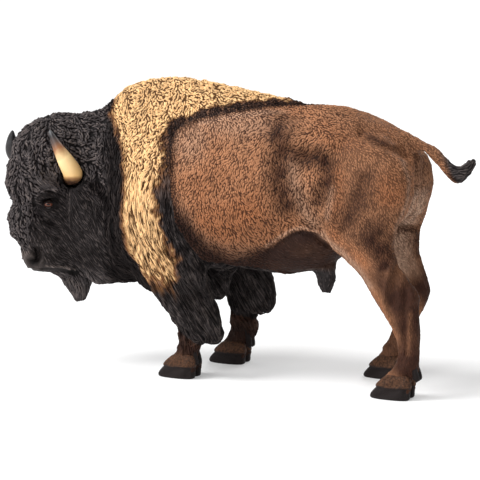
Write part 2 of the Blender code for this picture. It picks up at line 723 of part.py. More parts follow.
def second_cuts():
    """Cuts inside a piece that has come off: (piece, name of the new one, paint, seed, slab)."""
    hind, fore = "hindquarters", "shoulder_cape"
    level = (
        (hind, "thigh_left", "chestnut", (-28, 18, 44), (-28.0, 0, 50.4), 26.0, 22.0),
        (fore, "shoulder_left", "straw", (42, 19, 48), (42.0, 0, 68.0), 26.0, 26.0),
    )
    upright = (
        ("thigh_left", "thigh_right", "chestnut", (-28, -18, 44), (-28.0, 0, 40.0), 22.0, 22.0),
        ("shoulder_left", "shoulder_right", "straw", (42, -19, 48), (44.0, 0, 50.0), 22.0, 26.0),
        ("brisket", "pantaloon_left", "charcoal", (28, 19, 22), (35.0, 6.6, 26.0), 24.0, 20.0),
        ("brisket", "pantaloon_right", "charcoal", (20, -19, 22), (35.0, -6.6, 26.0), 24.0, 20.0),
    )
    rows = []
    for cuts, normal, turn in ((level, (0, 0, 1), 0), (upright, (0, 1, 0), 90)):
        for piece, name, paint, seed, centre, half_side, half_long in cuts:
            shape = in_plane(centre, normal, half_side, half_long, turn)
            rows.append((piece, name, paint, place(*seed), shape))
    return rows


def painted(holder, paint):
    """Gives an object one of the paints, and shades its round surfaces smooth."""
    colour, roughness = PAINTS[paint]
    material = bpy.data.materials.get(paint) or bpy.data.materials.new(paint)
    material.use_nodes = True
    shader = material.node_tree.nodes["Principled BSDF"]
    shader.inputs["Base Color"].default_value = (*colour, 1)
    shader.inputs["Roughness"].default_value = roughness
    holder.data.materials.clear()
    holder.data.materials.append(material)
    holder.data.shade_smooth()
    holder.data.set_sharp_from_angle(angle=math.radians(SMOOTH_BELOW))


def stand_on_middle(parts):
    """Moves every piece so that the origin lies below the middle of the whole figure, on its feet."""
    corners = np.array([vertex.co for holder in parts.objects for vertex in holder.data.vertices])
    low, high = corners.min(axis=0), corners.max(axis=0)
    shift = Matrix.Translation((-(low[0] + high[0]) / 2, -(low[1] + high[1]) / 2, -low[2]))
    for holder in parts.objects:
        holder.data.transform(shift)


def main():
    for holder in list(bpy.data.objects):
        bpy.data.objects.remove(holder)
    scene = bpy.context.scene.collection
    collections = {}
    for word in ("bison_figure", "masses", "cutters"):
        collections[word] = bpy.data.collections.new(word)
        scene.children.link(collections[word])
    parts, masses, cutters = (collections[word] for word in ("bison_figure", "masses", "cutters"))
    trunk_masses(masses)
    limb_masses(masses)
    head_masses(masses)
    tail_mass(masses)
    body = fused_body(masses, parts)
    hard_pieces(body, parts, cutters)
    for row in head_cuts() + rear_cuts() + front_cuts():
        part_off(body, *row, parts, cutters)
    for piece, *row in second_cuts():
        part_off(parts.objects[piece], *row, parts, cutters)
    parts.objects["shoulder_cape"].name = "hump"
    body.name = "trunk"
    painted(body, "chestnut")
    stand_on_middle(parts)


if __name__ == "__main__":
    main()
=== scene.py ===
"""A moulded and hand-painted toy bison bull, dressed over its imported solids.

One skin replaces the flesh, with folds, lids, nostrils and tendons worked into it. The moulded
hair is a coat of small closed locks that lie along the body, and skin and coat share one set of
painted markings. Horns, eyes, hooves and dewclaws are pieces of their own.
"""

import math

import bmesh
import bpy
import numpy as np
from bpy.props import FloatProperty, FloatVectorProperty, IntProperty, PointerProperty
from mathutils import Matrix, Vector
from mathutils.bvhtree import BVHTree
from mathutils.kdtree import KDTree


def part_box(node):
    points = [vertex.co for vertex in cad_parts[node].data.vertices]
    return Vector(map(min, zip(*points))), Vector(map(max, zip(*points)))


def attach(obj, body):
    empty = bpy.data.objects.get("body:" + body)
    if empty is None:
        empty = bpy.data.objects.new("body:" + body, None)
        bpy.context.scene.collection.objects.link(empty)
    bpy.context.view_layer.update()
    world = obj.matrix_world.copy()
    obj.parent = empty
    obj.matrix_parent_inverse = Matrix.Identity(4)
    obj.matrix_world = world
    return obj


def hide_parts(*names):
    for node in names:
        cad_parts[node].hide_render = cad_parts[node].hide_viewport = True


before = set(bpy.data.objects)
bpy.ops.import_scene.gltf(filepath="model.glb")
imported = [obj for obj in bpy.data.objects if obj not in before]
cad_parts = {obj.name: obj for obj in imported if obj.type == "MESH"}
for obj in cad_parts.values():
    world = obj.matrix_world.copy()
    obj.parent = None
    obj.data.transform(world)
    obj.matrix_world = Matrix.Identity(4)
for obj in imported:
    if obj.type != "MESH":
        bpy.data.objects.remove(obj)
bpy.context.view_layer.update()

bl_info = {
    "name": "Moulded bison figure",
    "version": (1, 0, 0),
    "blender": (4, 5, 0),
    "location": "View3D > Sidebar > Bison",
    "description": "Skin, moulded coat, horns, eyes and hooves for the bison figure's frame",
    "category": "Object",
}

MM = 0.001

# ------------------------------------------------------------------------------------------------
# Two frames in millimetres. The body's runs forward, left and up from below the withers; the
# head's runs forward along the nose, left and up, from the middle between the horn bases.

HEAD_AT = np.array((79.3, 8.2, 61.2))
HEAD_TURN, HEAD_ROLL = math.radians(55.0), math.radians(5.0)
EYE_AT = np.array((6.2, 9.0, -10.0))
NOSTRIL_AT = (8.5, 4.0, -27.5)
EYE_SET = EYE_AT + (-0.25, -0.26, -0.35)  # where the painted ball and its lids sit in the socket


def head_axes():
    """Columns are the head's forward, left and up axes in the body's frame."""
    turn = Matrix.Rotation(HEAD_TURN, 3, "Z") @ Matrix.Rotation(HEAD_ROLL, 3, "X")
    return np.array(turn)


HEAD_AXES = head_axes()


def from_head(points):
    """Places in the body's frame from places in the head's."""
    return np.asarray(points, float) @ HEAD_AXES.T + HEAD_AT


def to_head(points):
    """Places in the head's frame from places in the body's."""
    return (np.asarray(points, float) - HEAD_AT) @ HEAD_AXES


def origin_of_body():
    """Where the body's frame starts in the object's frame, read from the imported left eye."""
    low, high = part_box("eye_left")
    ahead, left, up = from_head([EYE_AT])[0] * MM
    middle = (low + high) / 2
    return np.array((middle.x - left, middle.y + ahead, middle.z - up))


ORIGIN = origin_of_body()


def to_object(points):
    """Places of the object in metres from the body's frame."""
    points = np.asarray(points, float)
    turned = np.stack((points[..., 1], -points[..., 0], points[..., 2]), -1)
    return turned * MM + ORIGIN


def to_body(points):
    """Places in the body's frame from the object's metres."""
    moved = (np.asarray(points, float) - ORIGIN) / MM
    return np.stack((-moved[..., 1], moved[..., 0], moved[..., 2]), -1)


def both_sides(points):
    """The points with their sideways places counted outward from the middle on either side."""
    points = np.array(points, float)
    points[:, 1] = np.abs(points[:, 1])
    return points


# ------------------------------------------------------------------------------------------------
# Small tools


def ramp(value, low, high):
    """0 below low, 1 above high, and a smooth rise between."""
    share = np.clip((np.asarray(value, float) - low) / (high - low), 0, 1)
    return share * share * (3 - 2 * share)


def table(value, rows):
    """Rows of (value, result) read with straight lines between them."""
    rows = np.array(rows, float)
    return np.interp(value, rows[:, 0], rows[:, 1])


def unit(vectors):
    return vectors / np.maximum(np.linalg.norm(vectors, axis=-1, keepdims=True), 1e-9)


def wobble(points, size, seed, waves=7):
    """A smooth random field of about -1 to 1 whose bumps are about size across."""
    draw = np.random.default_rng(seed)
    total = np.zeros(len(points))
    for _ in range(waves):
        way = unit(draw.normal(size=3)) * (2 * math.pi / size) * draw.uniform(0.6, 1.5)
        total += np.sin(points @ way + draw.uniform(0, 2 * math.pi))
    return total / math.sqrt(waves) * 0.8


SIDEWAYS = np.array((1.0, 0.3, 1.0))


def from_line(points, line, sideways=SIDEWAYS):
    """Distance of each point from a line of points, which may pass a little under the skin: what
    lies sideways of it counts for less."""
    line = np.array(line, float) * sideways
    points = points * sideways
    nearest = np.full(len(points), 1e9)
    for start, end in zip(line, line[1:]):
        way = end - start
        share = np.clip(((points - start) @ way) / (way @ way), 0, 1)
        gap = points - start - share[:, None] * way
        nearest = np.minimum(nearest, (gap * gap).sum(1))
    return np.sqrt(nearest)


def blob(points, centre, radii):
    """1 at the centre of a soft ellipsoid, and 0 well outside it."""
    gap = (points - np.array(centre, float)) / np.array(radii, float)
    return np.exp(-(gap * gap).sum(1))


def spline(rows, count):
    """Rows of numbers joined by a Catmull-Rom spline, read at count even steps."""
    rows = np.array(rows, float)
    padded = np.vstack((2 * rows[0] - rows[1], rows, 2 * rows[-1] - rows[-2]))
    steps = np.linspace(0, len(rows) - 1, count)
    first = np.minimum(steps.astype(int), len(rows) - 2)
    t = (steps - first)[:, None]
    a, b, c, d = (padded[first + k] for k in range(4))
    squared = (2 * a - 5 * b + 4 * c - d) * t**2
    cubed = (3 * b - a - 3 * c + d) * t**3
    return 0.5 * (2 * b + (c - a) * t + squared + cubed)


# ------------------------------------------------------------------------------------------------
# Meshes from arrays


def mesh_of(name, points, faces):
    """A mesh from object-frame points and an array of faces of one size, or a list of such arrays."""
    groups = faces if isinstance(faces, list) else [faces]
    mesh = bpy.data.meshes.new(name)
    mesh.vertices.add(len(points))
    mesh.vertices.foreach_set("co", np.ascontiguousarray(points, np.float32).ravel())
    corners = np.concatenate([group.ravel() for group in groups]).astype(np.int32)
    sizes = np.concatenate([np.full(len(group), group.shape[1]) for group in groups])
    starts = np.concatenate(([0], np.cumsum(sizes)[:-1]))
    mesh.loops.add(len(corners))
    mesh.loops.foreach_set("vertex_index", corners)
    mesh.polygons.add(len(sizes))
    mesh.polygons.foreach_set("loop_start", starts.astype(np.int32))
    mesh.update(calc_edges=True)
    mesh.validate()
    mesh.shade_smooth()
    return mesh


def arrays_of(mesh):
    """A mesh's points in body millimetres and the corners of its triangles."""
    mesh.calc_loop_triangles()
    points = np.empty(len(mesh.vertices) * 3, np.float32)
    mesh.vertices.foreach_get("co", points)
    triangles = np.empty(len(mesh.loop_triangles) * 3, np.int32)
    mesh.loop_triangles.foreach_get("vertices", triangles)
    return to_body(points.reshape(-1, 3).astype(float)), triangles.reshape(-1, 3)


def ring_faces(rings, around):
    """Quads that join rings of points into a tube, with each ring's own points in a row."""
    grid = np.arange(rings * around).reshape(rings, around)
    after = np.roll(grid, -1, axis=1)
    return np.stack((grid[:-1], grid[1:], after[1:], after[:-1]), -1).reshape(-1, 4)


def end_fans(rings, around):
    """Triangles that close a tube of rings to two points kept after them, its start and its end."""
    first = np.arange(around)
    last = first + (rings - 1) * around
    start = rings * around
    return np.concatenate((
        np.stack((np.roll(first, -1), np.full(around, start), first), 1),
        np.stack((last, np.full(around, start + 1), np.roll(last, -1)), 1),
    ))


def add_vectors(mesh, name, values):
    made = mesh.attributes.new(name, "FLOAT_VECTOR", "POINT")
    made.data.foreach_set("vector", np.ascontiguousarray(values, np.float32).ravel())


def add_piece(name, mesh, material, nodes=()):
    """Puts a finished mesh on the frame as a piece."""
    piece = bpy.data.objects.new(name, mesh)
    bpy.context.scene.collection.objects.link(piece)
    mesh.materials.clear()
    mesh.materials.append(material)
    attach(piece, "root")
    if nodes:
        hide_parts(*nodes)
    return piece


class Surface:
    """A triangle mesh in body millimetres, with what sculpting and the coat ask of it."""

    def __init__(self, points, triangles):
        self.points = points
        self.triangles = triangles
        ends = np.concatenate((triangles[:, :2], triangles[:, 1:], triangles[:, ::2]))
        self.edges = np.unique(np.sort(ends, axis=1), axis=0)

    def normals(self):
        a, b, c = (self.points[self.triangles[:, k]] for k in range(3))
        across = np.cross(b - a, c - a)
        total = np.zeros_like(self.points)
        for axis in range(3):
            for corner in range(3):
                total[:, axis] += np.bincount(
                    self.triangles[:, corner], across[:, axis], len(self.points)
                )
        return unit(total)

    def relax(self, steps, strength, back=-0.58):
        """Evens the surface out. Every second step pushes back, so that nothing shrinks. Strength is
        one number, or one for each point."""
        first, second = self.edges.T
        count = len(self.points)
        shares = np.bincount(self.edges.ravel(), minlength=count)[:, None]
        strength = np.broadcast_to(strength, count)[:, None]
        for step in range(steps):
            total = np.stack([
                np.bincount(first, self.points[second, axis], count)
                + np.bincount(second, self.points[first, axis], count)
                for axis in range(3)
            ], 1)
            push = 0.55 if step % 2 == 0 else back
            self.points = self.points + push * strength * (total / shares - self.points)

    def largest(self):
        """This surface without anything that isn't joined to its largest part."""
        label = np.arange(len(self.points))
        first, second = self.edges.T
        while True:
            lower = np.minimum(label[first], label[second])
            before = label.copy()
            np.minimum.at(label, first, lower)
            np.minimum.at(label, second, lower)
            label = label[label]
            if (label == before).all():
                break
        keep = label == np.bincount(label).argmax()
        number = np.cumsum(keep) - 1
        triangles = self.triangles[keep[self.triangles[:, 0]]]
        return Surface(self.points[keep], number[triangles])

    def tree(self):
        return BVHTree.FromPolygons(self.points.tolist(), self.triangles.tolist())


# ------------------------------------------------------------------------------------------------
# Where the painted regions of the body lie. Girth is the angle round the body in degrees, from
# 0 on the back to 180 under the belly; each table gives how far forward a border runs there.

CAPE_FRONT = (
    (0, 57.5), (15.7, 58.5), (34.8, 54.6), (55.6, 51.1), (85.7, 48.7),
    (109, 48.5), (127.8, 48.3), (141.7, 47.4), (150, 45.6), (156, 40.0), (165, 34.0),
)
STRAW_REAR = (
    (0, 2.5), (4.7, 4.6), (9.2, 7.9), (15.8, 15.2), (22.8, 23.4), (29.8, 31.4), (34.9, 36.6),
    (46.6, 38.2), (59.3, 36.8), (77.4, 36.2), (87, 37.4), (98.9, 37.6), (112.6, 37.5),
    (122.3, 36.5), (133.8, 33.7), (139.9, 32.0), (146, 31.4), (152, 33.0), (165, 34.0),
)
CAPE_STEP = (
    (0, -9), (9.5, 1.0), (17.1, 8.4), (25.6, 18.7), (31.3, 26.0), (36.8, 30.8), (42.4, 33.3),
    (54.6, 33.5), (76.3, 33.2), (98.8, 32.2), (118.4, 30.4), (134.2, 26.7), (146.8, 23.4),
    (160, 18.0), (180, 16.0),
)
# The brink of the cape behind its straw, as places on the skin of either side.
STEP_LINE = (
    (-8.0, 0.0, 84.3), (1.0, 4.0, 83.9), (8.4, 7.1, 83.1), (18.7, 10.2, 81.3), (26.0, 12.1, 79.9),
    (30.8, 13.4, 77.9), (33.3, 14.4, 75.8), (33.5, 16.3, 71.6), (32.7, 17.6, 64.3),
    (31.6, 19.4, 57.0), (30.0, 20.2, 49.1), (26.7, 18.5, 42.0), (24.0, 15.5, 36.3),
)
# How high the dark belly reaches, by how far forward, and how softly it fades there.
BELLY_TOP = (
    (-22, 40.0), (-19.6, 41.0), (-15.2, 42.9), (-14.1, 45.6), (-11.8, 47.5), (-8.0, 48.3),
    (-4.9, 47.4), (-1.7, 45.4), (1.7, 43.0), (5.4, 41.8), (11.0, 40.6), (14.7, 40.4),
    (20.3, 42.4), (24.2, 46.6), (26.7, 51.0), (30, 54.0),
)
BELLY_SOFTNESS = ((-24, 0.5), (-2, 0.5), (6, 2.6), (14, 5.2), (30, 6.5))
GIRTH_MIDDLE = 60.0  # height of the axis that girth is measured round
SHEATH_AT = -10.8  # how far forward the sheath hangs
QUARTERS_AT = -14.0  # how far forward the shorter hair of the quarters begins
HEAD_FROM = 57.0  # how far forward the head begins


def girth(points):
    return np.degrees(np.arctan2(np.abs(points[:, 1]), points[:, 2] - GIRTH_MIDDLE))


def regions(points):
    """Soft masks of 0 to 1 for each region of the coat, by name."""
    f, s, z = points.T
    a, side, h = to_head(points).T
    side = np.abs(side)
    ragged = 0.5 * wobble(points, 6.0, 11) + 0.35 * wobble(points, 2.6, 12)
    around = girth(points)
    front, rear, step = (table(around, rows) for rows in (CAPE_FRONT, STRAW_REAR, CAPE_STEP))
    step = step + (3.0 - step) * ramp(34.5 - z, -0.8, 0.8)
    # The forelegs' short hair begins below a sloping line, which lies higher on the left.
    leg_left = -0.545 * (f - 31.0) + 0.84 * (z - 13.2)
    leg_right = -0.24 * (f - 23.2) + 0.97 * (z - 15.2)
    below = np.where(s > 0, leg_left, leg_right)
    ahead = ramp(f, 8, 12) * ramp(46.0 - f, 0, 3)
    hind = ramp(QUARTERS_AT - f, -2, 2)
    made = {"fore_leg": ahead * ramp(-below, -0.6, 0.9) * ramp(26.0 - z, 0, 3)}
    made["hind_leg"] = hind * ramp(46.0 - z + 0.25 * (f + 30), -5, 9)
    made["cape"] = ramp(f - step, -0.25, 0.25) * (1 - made["fore_leg"])
    made["neck"] = made["cape"] * ramp(f - front - ragged, -1.5, 1.5)
    fringed = 0.7 * wobble(points, 1.4, 13)
    straw = ramp(front - f + ragged, -2.3, 1.5) * ramp(f - rear + 2.2 * ragged + fringed, -2.4, 1.8)
    straw = straw * ramp(z + 2 * ragged, 24.5, 33.0) * ramp(172.0 - around, 0, 14)
    made["straw"] = straw * made["cape"]
    made["curtain"] = made["cape"] * ramp(36.0 - z, 0, 9) * ramp(60.0 - f, 0, 6)
    made["head"] = ramp(f - HEAD_FROM + 0.35 * (s - 4.0), 0.0, 7.0) * made["cape"]
    wool_low = table(side, WOOL_EDGE)
    made["wool"] = made["head"] * ramp(h - wool_low + 0.6 * ragged, -0.8, 0.8)
    made["beard"] = made["head"] * ramp(-31.8 - h, -0.6, 1.0) * ramp(3.4 - a, -1.0, 1.0)
    made["face"] = made["head"] * (1 - made["wool"]) * (1 - made["beard"])
    made["jaw"] = made["face"] * np.maximum(ramp(wool_low - h, 0.5, 9.0), ramp(a, -7.0, 4.0))
    under = (table(f, BELLY_TOP) - z) / table(f, BELLY_SOFTNESS)
    made["belly"] = ramp(under, -1, 1) * ramp(f, -21.5, -19.5) * (1 - made["cape"])
    by_sheath = np.abs(f - SHEATH_AT)
    made["sheath"] = ramp(35.5 - z, -4.0, 2.0) * ramp(6.0 - by_sheath, 0, 1.0) * (np.abs(s) < 6)
    made["tail"] = ramp(-37.5 - f, 0, 4.0) * ramp(z, 62, 64)
    made["tuft"] = ramp(-48.4 - f + 0.6 * (z - 67), -1.2, 1.0) * ramp(z, 60, 62)
    inner = ramp(6.0 - np.abs(s) + 0.2 * (-34 - f), -3, 4)
    made["rear"] = ramp(71.0 - z, 0, 5) * ramp(-30.0 - f, 0, 6) * inner
    made["short"] = ramp(QUARTERS_AT - f, 0, 9)
    made["bare_belly"] = made["belly"] * ramp(9.0 - f, 0, 7)
    return made


def bareness(points):
    """1 on the eyes, nose pad and lips, where no hair lies."""
    q = both_sides(to_head(points))
    eye = ramp(2.5 - np.linalg.norm((q - EYE_AT) / (1.15, 1.0, 0.95), axis=1), -0.15, 0.15)
    pad = ramp(-24.2 - q[:, 2], 0, 0.6) * ramp(q[:, 0], 6.6, 7.4) * (q[:, 2] > -33)
    lip = from_line(q, LIP_LINE) < 0.8
    return np.maximum(eye, np.maximum(pad > 0.5, lip))


def streaks(places, rows, sideways=SIDEWAYS):
    """The strongest of some soft streaks, each a line with a width and a depth."""
    total = np.zeros(len(places))
    for line, width, depth in rows:
        total = np.maximum(total, depth * np.exp(-((from_line(places, line, sideways) / width) ** 2)))
    return total


def patches(places, rows):
    """The strongest of some soft round patches, each a centre, radii and a depth."""
    total = np.zeros(len(places))
    for centre, radii, depth in rows:
        total = np.maximum(total, depth * np.minimum(1.0, 1.35 * blob(places, centre, radii)))
    return total


def coal_paint(points, r, band, fleck):
    """How black each point is: the cape outside its straw, the tuft, sheath and upper forelegs."""
    coal = np.maximum(np.maximum(r["cape"] * (1 - r["straw"]), r["tuft"]), r["sheath"])
    coal = coal * (1 - r["fore_leg"])
    coal = coal * (1 - band * (0.40 + 0.38 * fleck))
    coal = np.maximum(coal, 0.5 * r["belly"])
    return np.maximum(coal, 0.7 * r["fore_leg"] * ramp(points[:, 2], 7, 12))


def umber_and_shade_paint(points, r, coal, band, fleck):
    """How far the brown is shaded towards umber: the umber paint of belly, legs and tail, painted shade in
    the hollows, lower down the body and behind the cape's step, and a painted highlight along the hind
    legs' front.
    """
    f, s, z = points.T
    by_sheath = ramp(40.0 - z, 0, 1.5) * ramp(8.5 - np.abs(f - SHEATH_AT), 0, 1)
    chest = ramp(f, 8, 12) * ramp(46.0 - f, 0, 3) * ramp(30.0 - z, 0, 2) * (coal < 0.95)
    shins = blob(points, (33, 12, 10), (3.5, 9, 5)) + blob(points, (26.5, -12, 10), (3.5, 9, 6))
    fore_legs = r["fore_leg"] * (1.0 - 0.25 * np.minimum(shins, 1) * ramp(10 - z, 0, 4))
    # The hind legs are lighter along their front edge: a painted highlight.
    front_edge = ramp(f - table(z, HIND_LEG_FRONT), -4, 1.5)
    hocks = 0.86 + 0.14 * ramp(36.0 - z, 0, 8) - 0.25 * front_edge
    hocks = r["hind_leg"] * ramp(44.0 - z, -6, 10) * hocks
    # A painted shadow on the flank just behind the cape's step, wider lower down.
    edge = table(girth(points), CAPE_STEP) - f
    lower = ramp(60.0 - z, -4, 16)
    rim = (0.82 + 0.15 * lower) * ramp(3.0 + 3.2 * lower - edge, 0, 3.6 + 2.8 * lower)
    # The quarters' deeper brown, and painted shade that deepens lower down the body.
    quarters = 0.24 * ramp(QUARTERS_AT - f, -6, 8) + 0.04 + 0.16 * ramp(66.0 - z, 0, 22)
    # Painted shade in the hollows of the flank and quarters.
    hollows = streaks(both_sides(points), SHADE_STREAKS) * ramp(np.abs(s), 5.0, 8.0)
    return np.maximum.reduce((
        0.98 * np.maximum(r["belly"], by_sheath),
        (0.92 - 0.32 * fleck) * band,
        0.97 * chest,
        fore_legs,
        hocks,
        0.9 * r["tail"] * ramp(-48.5 - f, -3.0, 2.5),
        rim * (edge > -0.5) * (z > 33),
        hollows * (0.95 + 0.12 * wobble(points, 4.0, 22)),
        quarters * (1 - coal),
    ))


def soot_and_shade_paint(points, q, r, snout):
    """How far the charcoal is deepened towards soot: the deeper black of face, fringe and neck, and painted
    shade in the neck's creases and on the face's nostrils, folds, mouth and brow.
    """
    f, _, z = points.T
    broad = (0.56 - 0.46 * snout) * r["face"] + 0.70 * r["curtain"] + r["neck"] * (1 - r["head"])
    return np.minimum(np.maximum.reduce((
        broad,
        0.4 * np.maximum(r["tuft"], r["sheath"]),
        0.7 * r["cape"] * ramp(42.0 - f, 0, 4) * ramp(67.0 - z, 0, 10),
        streaks(both_sides(points), NECK_SHADE_STREAKS),
        streaks(q, FACE_SHADE_STREAKS, 0.8),
    )), 1)


def pale_paint(points, normals, q, r, coal, inward, snout):
    """How pale each point is: the rear, the legs' inner faces, the upper flank, lip and nose, and painted
    highlights along the ribs, folds and thighs.
    """
    s, z = points[:, 1], points[:, 2]
    mirrored = both_sides(points)
    rear = 0.75 * r["rear"] * ramp(-normals[:, 0] + 0.4, 0.0, 1.0) * ramp(z, 30, 44)
    pale = np.maximum.reduce((
        rear * (1 - 0.75 * ramp(z, 53, 64)) * ramp(2.0 - s, -2, 2),
        0.95 * inward,
        # Painted highlights along the ribs, folds and thighs.
        streaks(mirrored, PALE_STREAKS) * ramp(np.abs(s), 5.0, 8.0),
        patches(mirrored, PALES),
    ))
    pale = pale * (1 - coal) * (1 - r["straw"]) + streaks(q, LIP_LIGHTS, 0.8) * r["head"]
    pad = ramp(-24.6 - q[:, 2], 0, 1.2) * ramp(q[:, 0], 6.4, 8.0) * r["head"] * (q[:, 2] > -31)
    nostril = streaks(q, FACE_SHADE_STREAKS[:1], 0.8)
    return pale + (0.8 * pad + 0.25 * snout * r["face"]) * (1 - nostril)


def markings(points, normals):
    """The painted markings: (straw, coal, shade), then how pale and how rusty each point is."""
    f, s, z = points.T
    r = regions(points)
    mirrored = both_sides(points)
    q = both_sides(to_head(points))
    fleck = ramp(wobble(points, 1.5, 23), 0.2, 0.9)
    band = r["cape"] * ramp(41.0 - f, 0, 4) * ramp(z, 52, 70) * (1 - r["straw"])
    coal = coal_paint(points, r, band, fleck)
    shade = umber_and_shade_paint(points, r, coal, band, fleck)
    inward = ramp(-normals[:, 1] * np.sign(s), -0.1, 0.55) * ramp(12.5 - np.abs(s), 0, 4)
    inward = inward * ramp(-24.0 - f, 0, 4) * ramp(z, 28, 36) * ramp(62 - z, 0, 4)
    # Painted highlights lift the shade on the legs and along the flank's fold.
    lit = streaks(mirrored, LEG_LIGHTS)
    shade = shade * (1 - 0.80 * inward) * (1 - lit)
    far = ramp(-1.0 - s, -1.0, 2.5) * ramp(-33.0 - f, 0, 4) * ramp(z, 53, 61)
    # The far quarter is darker near its top, and painted shade lies in both creases.
    shade = np.maximum(shade, np.maximum(0.42 * far, streaks(points, CREASES, 1.0)))
    snout = blob(q, (8.0, 0.0, -26.0), (6.0, 9.0, 5.0))
    full = ramp(coal, 0.6, 1.0)
    shade = shade * (1 - full) + soot_and_shade_paint(points, q, r, snout) * full
    shade = np.clip(shade + 0.08 * wobble(points, 9.0, 21) * (shade > 0.03), 0, 1)
    pale = pale_paint(points, normals, q, r, coal, inward, snout)
    # Russet paint, with some along the painted highlights of the legs.
    rust = np.maximum(streaks(mirrored, RUST_STREAKS), 0.45 * lit)
    rust = np.maximum(rust, patches(mirrored, RUSTS)) * (1 - shade)
    drawn = wobble(points * (1, 1, 0.4), 1.4, 24)
    straw = r["straw"] * (1 - ramp(50.0 - z, 0, 22) * (0.28 + 0.32 * drawn) - 0.10 * (1 + drawn))
    zones = np.stack((np.clip(straw, 0, 1), np.clip(coal, 0, 1), shade), 1)
    return zones, np.clip(pale, 0, 1), np.clip(rust, 0, 1)


# The front edge of the hind legs: height, and how far forward it is there.
HIND_LEG_FRONT = ((0, -33), (15, -38), (30, -33), (45, -24))
# The lower edge of the wool on the head, by how far it is from the middle.
WOOL_EDGE = (
    (0, -24.6), (2.8, -23.9), (5.0, -19.6), (6.1, -16.2), (6.6, -12.0), (8.8, -7.2),
    (10.5, -6.2), (13, -5.6), (16, -5.5), (20, -7.5), (24, -9.0),
)
# Lines on both sides that more than one paint or the sculpting follows.
FLANK_FOLD = (
    (3.5, 13.9, 42.6), (-1.7, 14.2, 46.1), (-4.9, 14.2, 48.0), (-8.0, 14.0, 48.9),
    (-11.8, 13.1, 48.1), (-15.0, 11.9, 45.0),
)
LOIN_HOLLOW = (
    (0.6, 13.2, 77.3), (-1.8, 14.9, 72.3), (-1.2, 16.3, 66.8), (-2.8, 17.2, 61.4),
    (-4.0, 17.1, 56.5),
)
NECK_CREASE = (
    (60.9, 14.8, 57.5), (56.2, 15.1, 52.4), (53.0, 18.0, 46.8), (52.6, 17.3, 40.5),
    (52.2, 14.2, 33.8),
)
# Soft streaks of paint on both sides of the body: (line, width, depth). These are painted shade in the
# hollows behind the ribs, over the hip, before the thigh, above the hock and beside the tail.
SHADE_STREAKS = (
    (LOIN_HOLLOW, 5.0, 0.88),
    (((3.3, 12.4, 77.5), (-2.2, 13.0, 77.4)), 1.2, 0.5),
    (((-5.9, 14.9, 69.8), (-10.3, 14.9, 69.4), (-14.1, 15.4, 70.4), (-16.1, 15.3, 67.4),
      (-16.7, 16.7, 63.2), (-14.7, 16.7, 58.2)), 3.5, 0.90),
    (((-28.6, 16.6, 63.5), (-26.9, 17.5, 59.6), (-24.6, 17.9, 54.8), (-22.0, 17.6, 48.3)), 5.4, 0.80),
    (((-30.8, 17.4, 49.2), (-33.0, 16.5, 44.4), (-34.6, 16.3, 40.0)), 6.0, 1.0),
    (((-24.1, 8.8, 77.0), (-28.2, 11.3, 75.6), (-33.1, 11.0, 73.7), (-36.1, 8.8, 72.2),
      (-37.5, 5.6, 70.8)), 1.4, 0.95),
)
# Creases behind the tail and under the far quarter, in their own places.
REAR_CLEFT = (
    (-38.8, -0.4, 71.4), (-40.2, -0.6, 66.0), (-39.6, -0.6, 60.0), (-37.6, -0.4, 54.0),
    (-34.5, 0.0, 48.5),
)
FAR_FOLD = ((-27.5, -7.4, 47.0), (-31.1, -8.7, 47.0), (-34.3, -10.4, 46.7), (-36.6, -11.8, 47.0))
# Painted shade in both creases.
CREASES = (([(f + 2.3, s, z) for f, s, z in REAR_CLEFT], 1.7, 0.9), (FAR_FOLD, 1.4, 1.0))
# Painted highlights along the last rib, the thigh's front, the flank's fold, the lower thigh and the
# buttock's rear edge, and pale tan just behind the cape's step.
PALE_STREAKS = (
    (((-5.5, 15.8, 67.0), (-6.7, 16.9, 61.5), (-9.0, 16.5, 56.0), (-11.4, 13.4, 50.0)), 2.6, 0.42),
    (((-18.4, 17.1, 61.1), (-17.8, 17.4, 56.6), (-16.8, 16.8, 52.7)), 1.3, 0.40),
    (FLANK_FOLD, 0.5, 0.55),
    (((-37.2, 10.1, 70.6), (-40.0, 10.9, 63.7), (-39.9, 12.8, 57.4), (-37.1, 14.0, 50.9),
      (-36.1, 13.4, 45.3)), 0.45, 0.55),
    (((-14.1, 13.5, 46.9), (-21.5, 16.2, 42.4), (-26.1, 16.5, 38.0), (-29.8, 16.1, 33.3)), 1.6, 0.6),
    (((26.0, 13.0, 78.2), (18.7, 11.6, 80.0), (8.4, 9.0, 81.6), (0.0, 6.0, 82.6)), 1.3, 0.55),
    (((31.8, 14.8, 75.0), (32.0, 16.8, 70.0)), 1.3, 0.45),
)
# Where the shade is lifted again: painted highlights along the thigh's front, the shin and the fold of the
# flank, and lighter brown at the back of the shin, on the fore feet and on the hind foot.
LEG_LIGHTS = (
    (((-18.5, 16.0, 48.0), (-24.1, 16.9, 44.0), (-28.5, 16.5, 39.5)), 2.6, 0.8),
    (((-14.1, 13.5, 46.9), (-21.5, 16.2, 43.0), (-27.3, 15.5, 37.8), (-31.0, 15.5, 31.5),
      (-34.3, 15.0, 25.7), (-36.9, 15.0, 19.0)), 2.0, 0.72),
    (((-42.1, 14.5, 25.6), (-42.0, 14.5, 19.0), (-41.5, 14.0, 13.7)), 0.8, 0.25),
    (((36.4, 13.0, 5.4), (33.5, 15.0, 5.4), (31.0, 15.5, 5.8)), 1.7, 0.65),
    (((30.4, 13.0, 5.8), (27.5, 14.5, 5.6)), 1.7, 0.5),
    (((-33.0, 14.0, 6.0), (-37.5, 15.5, 6.0)), 1.8, 0.5),
    (FLANK_FOLD, 0.5, 0.75),
)
